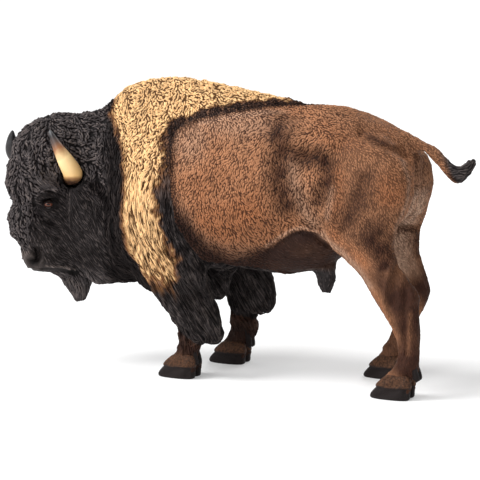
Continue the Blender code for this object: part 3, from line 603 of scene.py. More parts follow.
RUST_STREAKS = (
    (((-18.0, 16.0, 67.0), (-20.5, 17.3, 60.0), (-19.8, 17.3, 54.0), (-19.5, 16.5, 47.0)), 2.6, 0.65),
    (((-20.0, 17.0, 46.0), (-25.0, 17.0, 40.5), (-29.0, 16.5, 35.0)), 2.4, 0.6),
)
# Round patches: centre, radii, depth.
PALES = (
    ((27.5, 15.5, 74.0), (5.0, 7.0, 7.0), 0.36),
    ((14.0, 12.0, 79.0), (14.0, 6.0, 4.5), 0.36),
)
RUSTS = (
    ((-35.6, 15.5, 61.5), (4.5, 6.0, 6.0), 0.7),
    ((12.0, 18.0, 50.0), (15.0, 7.0, 8.0), 0.6),
    ((-20.0, 13.0, 75.0), (8.0, 6.0, 4.0), 0.4),
    ((20.0, 18.0, 60.0), (9.0, 7.0, 8.0), 0.3),
)
# Painted shade, as deeper black, in the creases of the neck, then on the face: nostril, folds, mouth and
# brow.
NECK_SHADE_STREAKS = (
    (NECK_CREASE, 2.8, 1.0),
    (((56.0, 12.0, 72.0), (53.5, 16.0, 62.0), (52.6, 18.5, 54.0), (52.4, 18.2, 46.0)), 2.4, 0.9),
)
NOSTRIL = ((9.9, 3.3, -28.4), (9.0, 4.3, -28.0), (8.5, 4.8, -26.6), (8.8, 4.6, -25.4))
FACE_SHADE_STREAKS = (
    ([(a - 0.6, l - 1.0, h) for a, l, h in NOSTRIL], 2.0, 1.0),
    (((10.6, 5.8, -12.1), (8.1, 6.8, -14.7), (4.9, 7.5, -16.6)), 0.9, 0.8),
    (((9.0, 7.6, -9.2), (6.3, 9.2, -8.0), (3.0, 9.3, -9.0)), 0.7, 0.85),
    (((8.5, 3.4, -30.8), (6.1, 4.5, -30.7), (3.4, 4.6, -31.1), (-0.1, 4.8, -31.6),
      (-4.0, 4.5, -32.9)), 0.6, 1.0),
    (((1.6, 8.0, -2.6), (1.4, 11.0, -3.6), (-1.5, 13.0, -4.4)), 1.6, 0.9),
)
LIP_LIGHTS = (
    (((6.1, 4.6, -29.8), (3.4, 4.7, -30.2), (-0.1, 5.0, -30.7), (-4.0, 4.6, -32.1)), 0.35, 0.8),
)


# ------------------------------------------------------------------------------------------------
# Sculpting the skin

# Lines worked into the skin: (points, width, height). Those of the body are on both sides: the
# fold of the flank and the groove under it, the thigh's front, the last rib, the hollows behind
# the ribs and over the hip, the rump's ridge, the crease beside the tail, and the neck's crease.
BODY_LINES = (
    (((3.5, 13.9, 42.6), (1.7, 13.9, 43.9), (-1.7, 14.2, 46.4), (-4.9, 14.2, 48.4),
      (-8.0, 14.0, 49.3), (-11.8, 13.1, 48.4), (-15.0, 11.9, 45.8)), 0.8, 0.45),
    (((3.5, 13.5, 41.0), (1.7, 13.5, 42.0), (-1.7, 13.8, 44.5), (-4.9, 13.8, 46.4),
      (-8.0, 13.6, 47.3), (-11.8, 12.6, 46.3), (-14.6, 10.6, 43.0)), 0.7, -0.75),
    (((-28.6, 16.4, 64.5), (-26.9, 17.5, 59.6), (-24.6, 17.9, 54.8), (-22.6, 17.6, 49.3)), 2.2, -0.65),
    (((-18.4, 16.6, 64.0), (-19.4, 17.1, 59.0), (-18.8, 17.4, 54.0), (-18.0, 16.8, 48.0)), 2.2, 0.45),
    (((-5.0, 14.5, 69.0), (-6.7, 16.9, 61.5), (-9.0, 16.5, 56.0), (-11.4, 14.0, 50.5)), 1.5, 0.5),
    (LOIN_HOLLOW, 2.3, -0.5),
    (((-9.0, 14.9, 70.4), (-14.1, 15.4, 71.1), (-16.1, 15.3, 67.4), (-16.4, 16.7, 63.2),
      (-14.7, 16.7, 58.2)), 1.6, -0.7),
    (((-21.0, 5.6, 80.2), (-28.6, 3.9, 78.2), (-35.0, 2.3, 76.1)), 1.6, 0.8),
    (((-24.1, 8.8, 77.0), (-28.2, 11.0, 75.6), (-33.1, 10.6, 73.7), (-36.1, 8.6, 72.2),
      (-37.8, 5.4, 70.8)), 1.2, -1.3),
    (NECK_CREASE, 1.7, -0.8),
)
# Tendons and grooves of the left hind leg and foreleg, then of the right ones, each in its place.
LEFT_LINES = (
    (((-36.4, 15.2, 40.5), (-35.4, 16.4, 34.5), (-34.6, 15.8, 28.5), (-36.6, 15.4, 22.5)), 0.65, 0.7),
    (((-38.0, 15.0, 39.5), (-37.6, 15.8, 34.5), (-37.0, 15.2, 28.5)), 1.0, -0.75),
    (((-37.0, 13.6, 47.0), (-38.0, 13.4, 40.0), (-41.0, 13.6, 34.5), (-43.0, 13.4, 29.5)), 0.7, 0.6),
    (((-40.5, 15.0, 37.0), (-41.0, 15.0, 32.0), (-40.6, 14.8, 26.0), (-41.0, 14.4, 14.0)), 0.9, -0.7),
    (((34.0, 15.0, 15.0), (33.4, 15.2, 11.0), (33.0, 15.0, 8.0)), 0.5, 0.25),
    (((29.4, 15.0, 14.0), (29.2, 15.2, 10.0)), 0.7, -0.35),
)
RIGHT_LINES = (
    (((-30.0, -8.6, 38.0), (-31.5, -8.7, 33.5), (-35.0, -9.6, 28.0), (-36.6, -10.1, 24.5)), 0.55, 0.42),
    (((-33.0, -9.0, 38.0), (-34.5, -9.6, 32.0), (-34.6, -9.8, 26.0)), 0.8, -0.42),
    (((-32.0, -15.6, 38.0), (-31.0, -15.6, 32.0), (-32.5, -15.2, 25.0)), 0.55, 0.3),
    (((24.6, -9.8, 13.5), (24.2, -9.6, 9.5)), 0.5, 0.3),
    (((21.4, -9.4, 13.5), (21.2, -9.4, 9.5)), 0.8, -0.4),
)
# The cleft behind the tail and the fold under the far quarter.
REAR_LINES = ((REAR_CLEFT, 1.9, -2.9), (FAR_FOLD, 1.0, -1.1))
LIP_LINE = (
    (9.0, 1.5, -30.4), (7.6, 3.8, -30.1), (5.5, 4.6, -30.2), (2.1, 5.0, -30.5),
    (-1.1, 5.0, -31.2), (-4.2, 4.8, -32.4),
)
# The head's own, on both sides: the mouth and lip, the brow, the lids' folds, the folds under the
# eye and along the nose, the nostril and its rim, the groove down the nose pad, and the brow's dip.
HEAD_LINES = (
    (((8.8, 1.5, -31.0), (8.0, 3.4, -30.9), (6.1, 4.5, -30.8), (3.4, 4.6, -31.2),
      (-0.1, 4.8, -31.7), (-4.0, 4.5, -33.0)), 0.42, -1.0),
    (LIP_LINE, 0.45, 0.28),
    (((9.6, 9.4, -0.8), (7.0, 10.6, -3.4), (4.8, 10.7, -4.9), (1.3, 10.4, -6.8)), 0.9, 1.0),
    (((9.8, 8.6, -3.6), (7.4, 9.8, -5.6), (4.4, 10.2, -6.6)), 0.6, -0.8),
    (((9.3, 8.0, -8.8), (8.6, 8.8, -8.2), (5.4, 9.9, -7.5), (2.1, 9.8, -8.1), (0.9, 9.9, -9.4)), 0.7, 0.65),
    (((8.2, 8.6, -9.5), (6.6, 9.6, -8.8), (4.4, 9.6, -8.9), (3.0, 9.2, -9.7)), 0.45, -0.5),
    (((10.6, 5.8, -12.1), (8.1, 6.8, -14.2), (4.9, 7.6, -15.9), (2.3, 7.9, -17.6)), 0.7, -0.95),
    (((9.6, 6.4, -11.6), (7.6, 7.6, -13.2), (5.0, 8.4, -13.9), (2.8, 8.8, -13.0),
      (1.8, 9.4, -10.6)), 0.6, 0.45),
    (((8.8, 7.4, -11.8), (6.6, 8.6, -12.6), (4.4, 8.9, -12.5), (2.8, 9.2, -11.2)), 0.4, -0.4),
    (((10.6, 6.1, -15.4), (6.9, 6.9, -17.4), (2.7, 7.4, -19.6)), 0.8, 0.6),
    (((10.4, 5.8, -17.2), (6.6, 6.7, -19.2), (2.6, 7.2, -21.2)), 0.7, -0.65),
    (((9.9, 3.4, -28.4), (9.2, 4.2, -28.0), (8.6, 4.8, -27.0), (8.6, 4.8, -26.0),
      (9.0, 4.6, -25.3)), 1.1, -2.4),
    (((7.7, 5.0, -28.7), (7.3, 5.5, -27.0), (7.6, 5.4, -25.0), (8.8, 4.7, -24.0)), 0.55, 0.45),
    (((10.4, 2.6, -24.2), (9.4, 4.0, -23.8), (7.8, 5.0, -23.8)), 0.5, -0.3),
    (((11.2, 0.0, -24.6), (11.4, 0.0, -27.6), (10.6, 0.0, -30.2)), 0.35, -0.35),
    (((13.0, -5.6, -10.2), (14.3, 0.0, -9.2), (13.0, 5.6, -10.2)), 1.1, -0.8),
)
# Soft swellings of the head and the crown's wool: centre, radii, height.
HEAD_SWELLINGS = (
    ((14.6, 0.0, -13.6), (3.0, 5.0, 3.4), 0.75),
    ((14.4, 0.0, -5.0), (3.0, 7.0, 3.0), 0.45),
    ((10.6, 2.0, -26.2), (2.2, 2.6, 2.2), 0.35),
    ((-5.5, 4.5, 17.5), (5.0, 6.0, 3.5), 0.8),
    ((-13.0, 15.0, 16.0), (3.5, 4.5, 3.0), -1.1),
    ((12.5, 0.0, -19.5), (2.5, 4.5, 2.6), 0.7),
    ((14.8, 0.0, -2.0), (3.0, 6.0, 3.0), 0.5),
)
# The same for the body, each on its own side.
BODY_SWELLINGS = (
    ((57.0, 0.0, 85.5), (7.0, 14.0, 6.0), 1.5),
    ((24.0, 0.0, 88.0), (32.0, 9.0, 6.0), 0.4),
    ((-15.0, 0.0, 83.0), (12.0, 9.0, 5.0), 0.35),
    ((-34.0, -2.0, 77.0), (4.5, 9.0, 3.5), -0.9),
    ((57.0, 6.0, 27.0), (10.0, 8.0, 3.5), 1.1),
    ((64.5, 8.0, 27.5), (3.5, 6.0, 4.0), 1.8),
    ((18.5, 15.0, 20.0), (3.0, 6.0, 9.0), 1.1),
    ((37.0, 13.0, 19.0), (3.0, 7.0, 7.0), -1.0),
    ((34.5, 13.0, 12.0), (2.2, 6.0, 4.0), -0.7),
    ((-26.0, 15.0, 36.0), (4.0, 6.0, 9.0), -0.8),
    ((-37.0, -12.0, 50.0), (3.0, 6.0, 7.0), 0.5),
)


def flesh_nodes():
    """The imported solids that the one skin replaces."""
    hard = ("horn", "eye", "toe", "dewclaw")
    return sorted(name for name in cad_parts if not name.startswith(hard))


def pastern_balls():
    """Swellings that carry the foot down to each hoof and round the root of each dewclaw: place,
    radii and forward lean in degrees."""
    made = []
    for _, forward, left, heel, fetlock, _ in FEET:
        for outer in (1, -1):
            middle = left + HOOF_WIDTH / 4 * outer
            made.append(((forward - 2.6, middle + 0.10 * outer, 4.35), (4.1, 2.3, 2.2), 14))
            made.append(((forward - 4.6, middle + 0.05 * outer, 3.0), (2.2, 2.05, 2.2), 0))
            made.append(((heel + 1.0, left + 1.4 * outer, fetlock - 0.2), (1.2, 1.0, 2.6), 8))
    return made


def fused_flesh(grow, voxel):
    """The flesh nodes grown by a hair and fused into one surface, so that their seams close."""
    joined = bmesh.new()
    for place, radii, lean in pastern_balls():
        matrix = Matrix.Translation(place) @ Matrix.Rotation(math.radians(lean), 4, "Y")
        matrix = Matrix.Scale(MM, 4) @ matrix @ Matrix.Diagonal((*radii, 1))
        matrix = Matrix.Translation(ORIGIN) @ Matrix.Rotation(-math.pi / 2, 4, "Z") @ matrix
        bmesh.ops.create_uvsphere(joined, u_segments=24, v_segments=16, radius=1.0, matrix=matrix)
    for name in flesh_nodes():
        one = bmesh.new()
        one.from_mesh(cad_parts[name].data)
        bmesh.ops.remove_doubles(one, verts=one.verts, dist=1e-6)
        one.normal_update()
        for vertex, push in [(v, v.normal * grow * MM) for v in one.verts]:
            vertex.co += push
        passing = bpy.data.meshes.new("passing")
        one.to_mesh(passing)
        one.free()
        joined.from_mesh(passing)
        bpy.data.meshes.remove(passing)
    mesh = bpy.data.meshes.new("flesh")
    joined.to_mesh(mesh)
    joined.free()
    holder = bpy.data.objects.new("flesh", mesh)
    bpy.context.scene.collection.objects.link(holder)
    remesh = holder.modifiers.new("fuse", "REMESH")
    remesh.mode = "VOXEL"
    remesh.voxel_size = voxel * MM
    bpy.context.view_layer.update()
    made = holder.evaluated_get(bpy.context.evaluated_depsgraph_get()).to_mesh()
    points, triangles = arrays_of(made)
    bpy.data.objects.remove(holder)
    return Surface(points, triangles).largest()


def refine(surface, wanted):
    """Splits every triangle marked in wanted into four, and joins the neighbours to the new points."""
    triangles = surface.triangles
    ends = np.stack((triangles, np.roll(triangles, -1, axis=1)), -1)
    keys = np.sort(ends, axis=-1)
    codes = keys[..., 0].astype(np.int64) * len(surface.points) + keys[..., 1]
    split = np.unique(codes[wanted])
    found = np.searchsorted(split, codes).clip(0, len(split) - 1)
    middle = np.where(split[found] == codes, found + len(surface.points), -1)
    first, second = np.divmod(split, len(surface.points))
    points = np.vstack((surface.points, (surface.points[first] + surface.points[second]) / 2))
    made = []
    cuts = (middle >= 0).sum(1)
    made.append(triangles[cuts == 0])
    t, m = triangles[cuts == 3], middle[cuts == 3]
    made += [np.stack((t[:, k], m[:, k], m[:, k - 1]), 1) for k in range(3)] + [m]
    for k in range(3):
        one = (cuts == 1) & (middle[:, k] >= 0)
        t, m = triangles[one], middle[one, k]
        made.append(np.stack((t[:, k], m, t[:, k - 1]), 1))
        made.append(np.stack((m, t[:, (k + 1) % 3], t[:, k - 1]), 1))
        two = (cuts == 2) & (middle[:, k] < 0)
        t, m, n = triangles[two], middle[two, (k + 1) % 3], middle[two, k - 1]
        made.append(np.stack((t[:, k], t[:, (k + 1) % 3], n), 1))
        made.append(np.stack((t[:, (k + 1) % 3], m, n), 1))
        made.append(np.stack((m, t[:, k - 1], n), 1))
    return Surface(points, np.concatenate(made))


def coat_depth(r):
    """How far the skin lies inside the flesh solids, in millimetres, from the regions."""
    deep = 0.62 * r["cape"] * (1 - r["face"]) + 0.20 * (1 - r["cape"])
    deep = deep * (1 - 0.8 * np.maximum(r["fore_leg"], r["hind_leg"])) + 0.10 * r["face"]
    return deep * (1 - 0.7 * r["belly"]) + 0.3 * r["tuft"]


def inside_hooves(points):
    """The foot of each leg, drawn in where it would overhang the front of its hoof."""
    points = points.copy()
    over = np.array(FETLOCK_ROWS)
    for _, forward, left, _, _, _ in FEET:
        f, s, z = points.T
        back, long, wide = (np.interp(z, over[:, 0], column) for column in over.T[1:])
        long, wide = long * HOOF_LENGTH / 2, wide * HOOF_WIDTH / 2
        df, ds = f - forward - back, s - left
        reach = np.hypot(df / long, ds / wide)
        near = (np.abs(df) < 9) & (np.abs(ds) < 7)
        drawn = near * ramp(9.6 - z, 0, 2.2) * ramp(df, -5.0, -3.0) * ramp(reach, 1.0, 1.02)
        share = 1 - drawn * (1 - 1 / np.maximum(reach, 1))
        points[:, 0] += df * (share - 1)
        points[:, 1] += ds * (share - 1)
    return points


def softened(surface):
    """Evens out the joins between the fused solids and draws the feet in over the hooves."""
    surface.relax(6, 0.9)
    f, _, z = surface.points.T
    barrel = ramp(34.0 - f, 0, 6) * ramp(z, 40, 46) * ramp(f, -40, -36)
    surface.relax(90, 0.95 * barrel)
    surface.relax(16, 0.8 * (1 - barrel))
    f, _, z = surface.points.T
    throat = ramp(6.5 - np.abs(f - 52.5), 0, 3) * ramp(37.0 - z, 0, 3)
    coronets = 0.8 * ramp(8.5 - z, 0, 1.5)
    surface.relax(14, 0.9 * np.maximum(throat, coronets), back=0.0)
    surface.points = inside_hooves(surface.points)
    surface.relax(8, 0.8 * ramp(11.0 - surface.points[:, 2], 0, 2.5), back=0.0)
    surface.points = inside_hooves(surface.points)


def with_finer_face(surface):
    """The surface with small triangles round the eyes, nostrils and lips."""
    for _ in range(2):
        q = both_sides(to_head(surface.points[surface.triangles].mean(1)))
        eye = np.linalg.norm(q - EYE_AT, axis=1) < 4.6
        nose = np.linalg.norm(q - NOSTRIL_AT, axis=1) < 4.2
        lips = from_line(q, LIP_LINE) < 1.6
        surface = refine(surface, eye | nose | lips)
    return surface


def carved(points, q):
    """How far each point is raised by the lines and swellings, in millimetres. Q is its place in
    the head's frame on either side."""
    mirrored = both_sides(points)
    lift = np.zeros(len(points))
    for places, lines, sideways in (
        (mirrored, BODY_LINES, SIDEWAYS), (points, LEFT_LINES + RIGHT_LINES, SIDEWAYS),
        (points, REAR_LINES, 1.0), (q, HEAD_LINES, (1, 0.6, 1)),
    ):
        for line, width, height in lines:
            lift += height * np.exp(-((from_line(places, line, sideways) / width) ** 2))
    far_nostril = (to_head(points)[:, 1] < 0) & (blob(q, (8.8, 4.0, -27.2), (2.6, 3.0, 3.0)) > 0.2)
    lift = np.where(far_nostril, np.clip(lift, -0.9, 0.3), lift)
    lift -= 0.8 * blob(mirrored, (-9.5, 15.0, 69.5), (6.0, 6.0, 4.2))
    for places, rows in ((q, HEAD_SWELLINGS), (points, BODY_SWELLINGS)):
        for centre, radii, height in rows:
            lift += height * blob(places, centre, radii)
    return lift


def ruffled(points):
    """How far the skin under the hair is raised by its grain, in millimetres."""
    r = regions(points)
    z = points[:, 2]
    turned = np.arctan2(points[:, 1], points[:, 0] - SHEATH_AT)
    woolly = np.maximum(r["wool"], r["cape"] * (1 - r["face"]))
    return (
        0.16 * np.cos(11 * turned) * r["sheath"] * ramp(34.0 - z, 0, 2),
        0.22 * woolly * wobble(points, 3.2, 31) + 0.3 * r["tuft"],
        0.05 * (1 - woolly) * wobble(points, 1.6, 32) * (1 - r["face"]),
        0.5 * r["curtain"] * ramp(24.0 - z, 0, 6) * wobble(points * (1, 1, 0.25), 1.7, 33),
    )


def worked(surface, grown):
    """The skin: softened, drawn in under the coat, and worked into folds, lids and tendons."""
    softened(surface)
    deep = coat_depth(regions(surface.points)) + grown
    surface.points = surface.points - surface.normals() * deep[:, None]
    surface.relax(4, 0.8)
    surface = with_finer_face(surface)
    q = both_sides(to_head(surface.points))
    cheeks = np.minimum(1.6 * blob(q, (-1.0, 10.0, -18.0), (7.0, 6.0, 11.0)), 1)
    surface.relax(40, 0.95 * cheeks, back=-0.2)
    points = surface.points
    q = both_sides(to_head(points))
    lift = carved(points, q)
    for height in ruffled(points):
        lift += height
    points = points + surface.normals() * lift[:, None]
    f, s, z = points.T
    tail = ramp(z, 60, 62) * ramp(-40.0 - f, 0, 5)
    points[:, 2] += tail * (1.1 - 2.3 * np.exp(-(((f + 51.0) / 3.2) ** 2)))
    by_sheath = np.abs(f - SHEATH_AT)
    points[:, 0] += 0.6 * ramp(36.0 - z, 0, 3) * ramp(8.0 - by_sheath, 0, 1.5) * (np.abs(s) < 7)
    surface.points = points
    nostrils = np.minimum(2 * blob(q, (8.6, 4.0, -27.4), (2.6, 3.0, 3.0)), 1)
    surface.relax(3, 0.7 * nostrils, back=0.0)
    return surface


# ------------------------------------------------------------------------------------------------
# How the coat lies

# (place), (way the hair runs), in the body's frame and on both sides.
BODY_GUIDES = (
    ((44, 3, 90), (-0.7, 0.6, -0.3)), ((30, 5, 88), (-0.9, 0.4, -0.3)), ((12, 4, 86), (-1, 0.2, -0.1)),
    ((-6, 3, 84.5), (-1, 0.2, -0.1)), ((50, 12, 78), (0.15, 0.1, -1)), ((38, 13, 78), (0.3, 0.1, -1)),
    ((42, 18, 64), (0.02, 0, -1)), ((36, 18, 60), (-0.15, 0, -1)), ((44, 19, 50), (-0.22, 0, -1)),
    ((42, 18, 40), (-0.42, 0, -1)), ((34, 19, 38), (-0.6, 0, -1)), ((40, 17, 30), (-0.62, 0, -1)),
    ((32, 18, 25), (-0.75, 0, -1)), ((24, 16, 16), (-0.75, 0, -1)), ((28, 8, 20), (-0.7, 0, -1)),
    ((20, 8, 22), (-0.5, 0, -1)), ((24, 13, 79), (0.7, 0.2, -1)), ((8, 14, 77), (0.85, 0.2, -1)),
    ((25, 18, 64), (0.35, 0, -1)), ((12, 19, 62), (0.18, 0, -1)), ((0, 17, 62), (0.05, 0, -1)),
    ((25, 17, 50), (-0.12, 0, -1)), ((12, 18, 50), (-0.28, 0, -1)), ((1, 15, 50), (-0.5, 0, -1)),
    ((10, 8, 36), (-1, 0, -0.25)), ((-6, 9, 38), (-1, 0, 0.1)), ((-11, 15, 76), (0.9, 0.1, -0.8)),
    ((-16, 10, 81), (-1, 0.25, -0.1)), ((-28, 8, 78), (-1, 0.2, -0.35)), ((-22, 16, 66), (-0.5, 0, -1)),
    ((-24, 17, 56), (-0.15, 0, -1)), ((-36, 10, 64), (-0.5, 0, -1)), ((-20, 17, 48), (-0.5, 0, -1)),
    ((-30, 16, 42), (-0.65, 0, -1)), ((-38, 14, 25), (-0.05, 0, -1)), ((-40, 14, 12), (0.05, 0, -1)),
    ((-30, 14, 20), (0.1, 0, -1)), ((31, 14, 9), (0, 0, -1)), ((24, 14, 9), (0, 0, -1)),
    ((58, 14, 66), (-0.35, 0, -1)), ((58, 13, 50), (-0.35, 0, -1)), ((60, 7, 36), (-0.85, 0, -0.75)),
    ((50, 10, 32), (-0.8, 0, -0.8)), ((34, 3, 27), (-0.45, 0, -1)), ((60, 4, 82), (-0.4, 0.5, -0.2)),
    ((-11, 3, 30), (0, 0, -1)), ((-37, 0, 74.4), (-0.9, 0, -0.45)), ((-43, 0, 70.6), (-0.72, 0, -0.68)),
    ((-49, 0, 66.2), (-1, 0, 0)), ((-54, 0, 67.4), (-0.75, 0, 0.65)), ((-56, 0, 70), (-0.3, 0, 1)),
    ((1, 4, 84.4), (-1, 0, -0.05)), ((8.4, 7.1, 83.7), (-1, 0.1, -0.1)), ((18.7, 10.2, 82),
    (-1, 0.15, -0.15)),
    ((26, 12.1, 80.6), (-0.9, 0.2, -0.4)), ((31.5, 13.4, 78.6), (-0.4, 0.15, -1)),
    ((34.2, 15, 75), (0, 0.1, -1)),
    ((34.3, 16.5, 71), (0.05, 0, -1)), ((33.6, 17.8, 64), (0.08, 0, -1)), ((32.5, 19.4, 57), (0.05, 0, -1)),
    ((31, 20.2, 49), (-0.25, 0, -1)), ((27.8, 18.5, 42), (-0.5, 0, -1)), ((25, 15.5, 36), (-0.65, 0, -1)),
    ((14, 10, 24), (-0.55, 0, -0.8)),
)
# The same in the head's own frame.
HEAD_GUIDES = (
    ((-6, 5, 17), (-0.7, 0.5, 0.1)), ((8, 4, 14), (0.5, 0.4, -0.2)), ((14, 4, 0), (0.1, 0.35, -1)),
    ((15, 2.5, -12), (0.0, 0.3, -1)), ((13, 2, -21), (0, 0.3, -1)), ((2, 12, 6), (-0.3, 0.3, -1)),
    ((-10, 13, 4), (-0.6, 0, -1)), ((3, 10, -12), (-0.75, 0.1, -0.75)), ((-4, 12, -16), (-0.8, 0, -0.7)),
    ((-10, 12, -22), (-0.8, 0, -0.7)), ((5, 7, -20), (-0.55, 0.1, -0.8)), ((0, 6.5, -27), (-0.8, 0, -0.5)),
    ((-6, 4, -33), (-0.3, 0, -1)), ((-8, 2, -40), (-0.05, 0, -1)), ((-3, 2, -36), (-0.2, 0, -1)),
    ((7, 5.6, -23), (-0.4, 0.1, -0.9)), ((9, 9.5, -4.5), (-0.8, 0.3, -0.55)), ((11, 8, -1),
    (-0.6, 0.4, -0.8)),
)


# Square millimetres that soften each guide near its place, and how fast it fades with distance.
GUIDE_SOFTNESS, GUIDE_FADE = 9.0, 2.2


def lie_of(points, normals, stir):
    """The way the hair runs at each point, in the surface. Stir turns it by that many radians."""
    rows = []
    for place, way in BODY_GUIDES:
        for side in (1, -1):
            rows.append(((place[0], place[1] * side, place[2]), (way[0], way[1] * side, way[2])))
    for place, way in HEAD_GUIDES:
        for side in (1, -1):
            at = from_head([(place[0], place[1] * side, place[2])])[0]
            rows.append((at, HEAD_AXES @ np.array((way[0], way[1] * side, way[2]))))
    total = np.zeros_like(points)
    for place, way in rows:
        gap = points - np.array(place, float)
        far = (gap * gap).sum(1)[:, None] + GUIDE_SOFTNESS
        total += unit(np.array(way, float)) / far**GUIDE_FADE
    way = unit(total)
    way = unit(way - normals * (way * normals).sum(1)[:, None])
    aside = np.cross(normals, way)
    return way * np.cos(stir)[:, None] + aside * np.sin(stir)[:, None]


# What the moulded hair is like in each region: spacing, length, width, height, curl and stir.
HAIR = {
    "flank": (0.50, 1.35, 0.62, 0.22, 0.5, 0.36),
    "short": (0.50, 1.15, 0.52, 0.12, 0.4, 0.30),
    "cape": (0.52, 1.5, 0.60, 0.38, 0.5, 0.75),
    "long": (0.60, 4.4, 0.56, 0.46, 0.2, 0.16),
    "curtain": (0.70, 6.4, 0.60, 0.48, 0.1, 0.06),
    "wool": (0.60, 1.8, 0.70, 0.48, 0.7, 0.80),
    "brow": (0.62, 3.2, 0.80, 0.62, 0.4, 0.30),
    "neck": (0.66, 2.8, 0.56, 0.42, 0.4, 0.22),
    "face": (0.62, 2.6, 0.46, 0.26, 0.2, 0.12),
    "leg": (0.80, 1.6, 0.42, 0.08, 0.3, 0.16),
    "belly": (0.95, 1.8, 0.60, 0.08, 0.3, 0.18),
    "tuft": (0.54, 3.2, 0.56, 0.44, 0.5, 0.28),
    "beard": (0.54, 4.8, 0.46, 0.40, 0.2, 0.12),
}
HAIR_WORDS = ("spacing", "length", "width", "height", "curl", "stir")


def hair_at(points):
    """The moulded hair's sizes at each point, blended between regions."""
    r = regions(points)
    around = girth(points)
    long = r["cape"] * (1 - r["head"]) * ramp(around, 66, 98)
    q = both_sides(to_head(points))
    layers = (
        ("flank", np.ones(len(points))),
        ("short", r["short"]),
        ("belly", r["bare_belly"]),
        ("leg", np.maximum(r["hind_leg"] * ramp(40.0 - points[:, 2], -4, 6), r["fore_leg"])),
        ("cape", r["cape"]),
        ("neck", r["neck"]),
        ("long", long),
        ("curtain", r["curtain"]),
        ("wool", r["wool"]),
        ("brow", np.minimum(1.6 * blob(q, (7.5, 9.5, -3.0), (4.5, 5.0, 2.6)), 1) * r["wool"]),
        ("face", r["jaw"]),
        ("beard", r["beard"]),
        ("tuft", r["tuft"]),
    )
    blended = np.zeros((len(points), len(HAIR_WORDS)))
    for name, weight in layers:
        blended += (np.array(HAIR[name]) - blended) * weight[:, None]
    sizes = dict(zip(HAIR_WORDS, blended.T))
    brink = np.exp(-((from_line(both_sides(points), STEP_LINE) / 1.9) ** 2))
    sizes["length"] *= 1 - 0.40 * brink
    sizes["height"] *= 1 - 0.45 * brink
    sizes["stir"] *= 1 - 0.75 * brink
    snout = blob(q, (8.0, 0.0, -25.0), (7.0, 9.0, 6.5)) * r["face"]
    sizes["length"] *= 1 - 0.45 * snout
    sizes["height"] *= 1 - 0.5 * snout
    return sizes


ROOTS_TRIED = 3.4  # how many roots are tried for each that a full coat has room for


def scattered(surface, seed):
    """Roots spread evenly over the surface, each at its own distance from the next."""
    draw = np.random.default_rng(seed)
    corners = surface.points[surface.triangles]
    across = np.cross(corners[:, 1] - corners[:, 0], corners[:, 2] - corners[:, 0])
    area = np.linalg.norm(across, axis=1) / 2
    sizes = hair_at(corners.mean(1))
    bare = bareness(corners.mean(1))
    chance = ROOTS_TRIED * area / sizes["spacing"] ** 2 * (bare < 0.5)
    picked = np.flatnonzero(draw.random(len(area)) < chance)
    picked = draw.permutation(picked)
    weights = draw.dirichlet((1, 1, 1), len(picked))
    places = (corners[picked] * weights[:, :, None]).sum(1)
    spacing = sizes["spacing"][picked] * draw.uniform(0.88, 1.12, len(picked))
    known = KDTree(len(places))
    for number, place in enumerate(places.tolist()):
        known.insert(place, number)
    known.balance()
    free = np.ones(len(places), bool)
    kept = []
    for number, (place, reach) in enumerate(zip(places.tolist(), spacing.tolist())):
        if free[number]:
            for _, other, _ in known.find_range(place, reach):
                free[other] = False
            kept.append(number)
    return places[kept], unit(across[picked[kept]])


# Shares along a lock: how wide it is and how high its ridge stands.
LOCK_WIDTHS = ((0.0, 0.45), (0.2, 0.86), (0.5, 1.0), (0.8, 0.76), (1.0, 0.0))
LOCK_HEIGHTS = ((0.0, 0.05), (0.2, 0.45), (0.5, 0.85), (0.8, 1.0), (1.0, 0.55))
# A lock's thickness from its height and width, and how many thicknesses its keel lies down.
THICK_BY_HEIGHT, THICK_BY_WIDTH, KEEL = 0.55, 0.10, 1.7
# How much a lock keeps to the way up along its path, and how much to the one at its root.
PATH_SHARE, ROOT_SHARE = 0.45, 0.55
# A lock ends where its next step would leave the surface by more than a share of the step plus
# some millimetres, or where the surface turns so far that the cosine is under the last number.
SLIP_SHARE, SLIP, LEAST_COSINE = 0.55, 0.12, 0.2


def marched(tree, roots, normals, ways, length, curl, steps):
    """Each lock's path over the surface, with the way up along it, and the share of its length it
    can run before the surface falls away under it."""
    shape = (len(roots), steps + 2, 3)
    ground, up = np.empty(shape), np.empty(shape)
    ground[:, 0], up[:, 0] = roots, normals
    stride = (length / (steps + 1))[:, None]
    turn = (curl / (steps + 1))[:, None]
    reach, way = np.ones(len(roots)), ways
    for k in range(1, steps + 2):
        way = way * np.cos(turn) + np.cross(up[:, k - 1], way) * np.sin(turn)
        ahead = ground[:, k - 1] + way * stride
        for number, place in enumerate(ahead.tolist()):
            ground[number, k], up[number, k], _, _ = tree.find_nearest(place)
        off = np.linalg.norm(ground[:, k] - ahead, axis=1)
        bend = (up[:, k] * up[:, k - 1]).sum(1)
        lost = (reach == 1) & ((off > SLIP_SHARE * stride[:, 0] + SLIP) | (bend < LEAST_COSINE))
        reach[lost] = (k - 1) / (steps + 1)
        way = unit(way - up[:, k] * (way * up[:, k]).sum(1)[:, None])
    return ground, up, reach


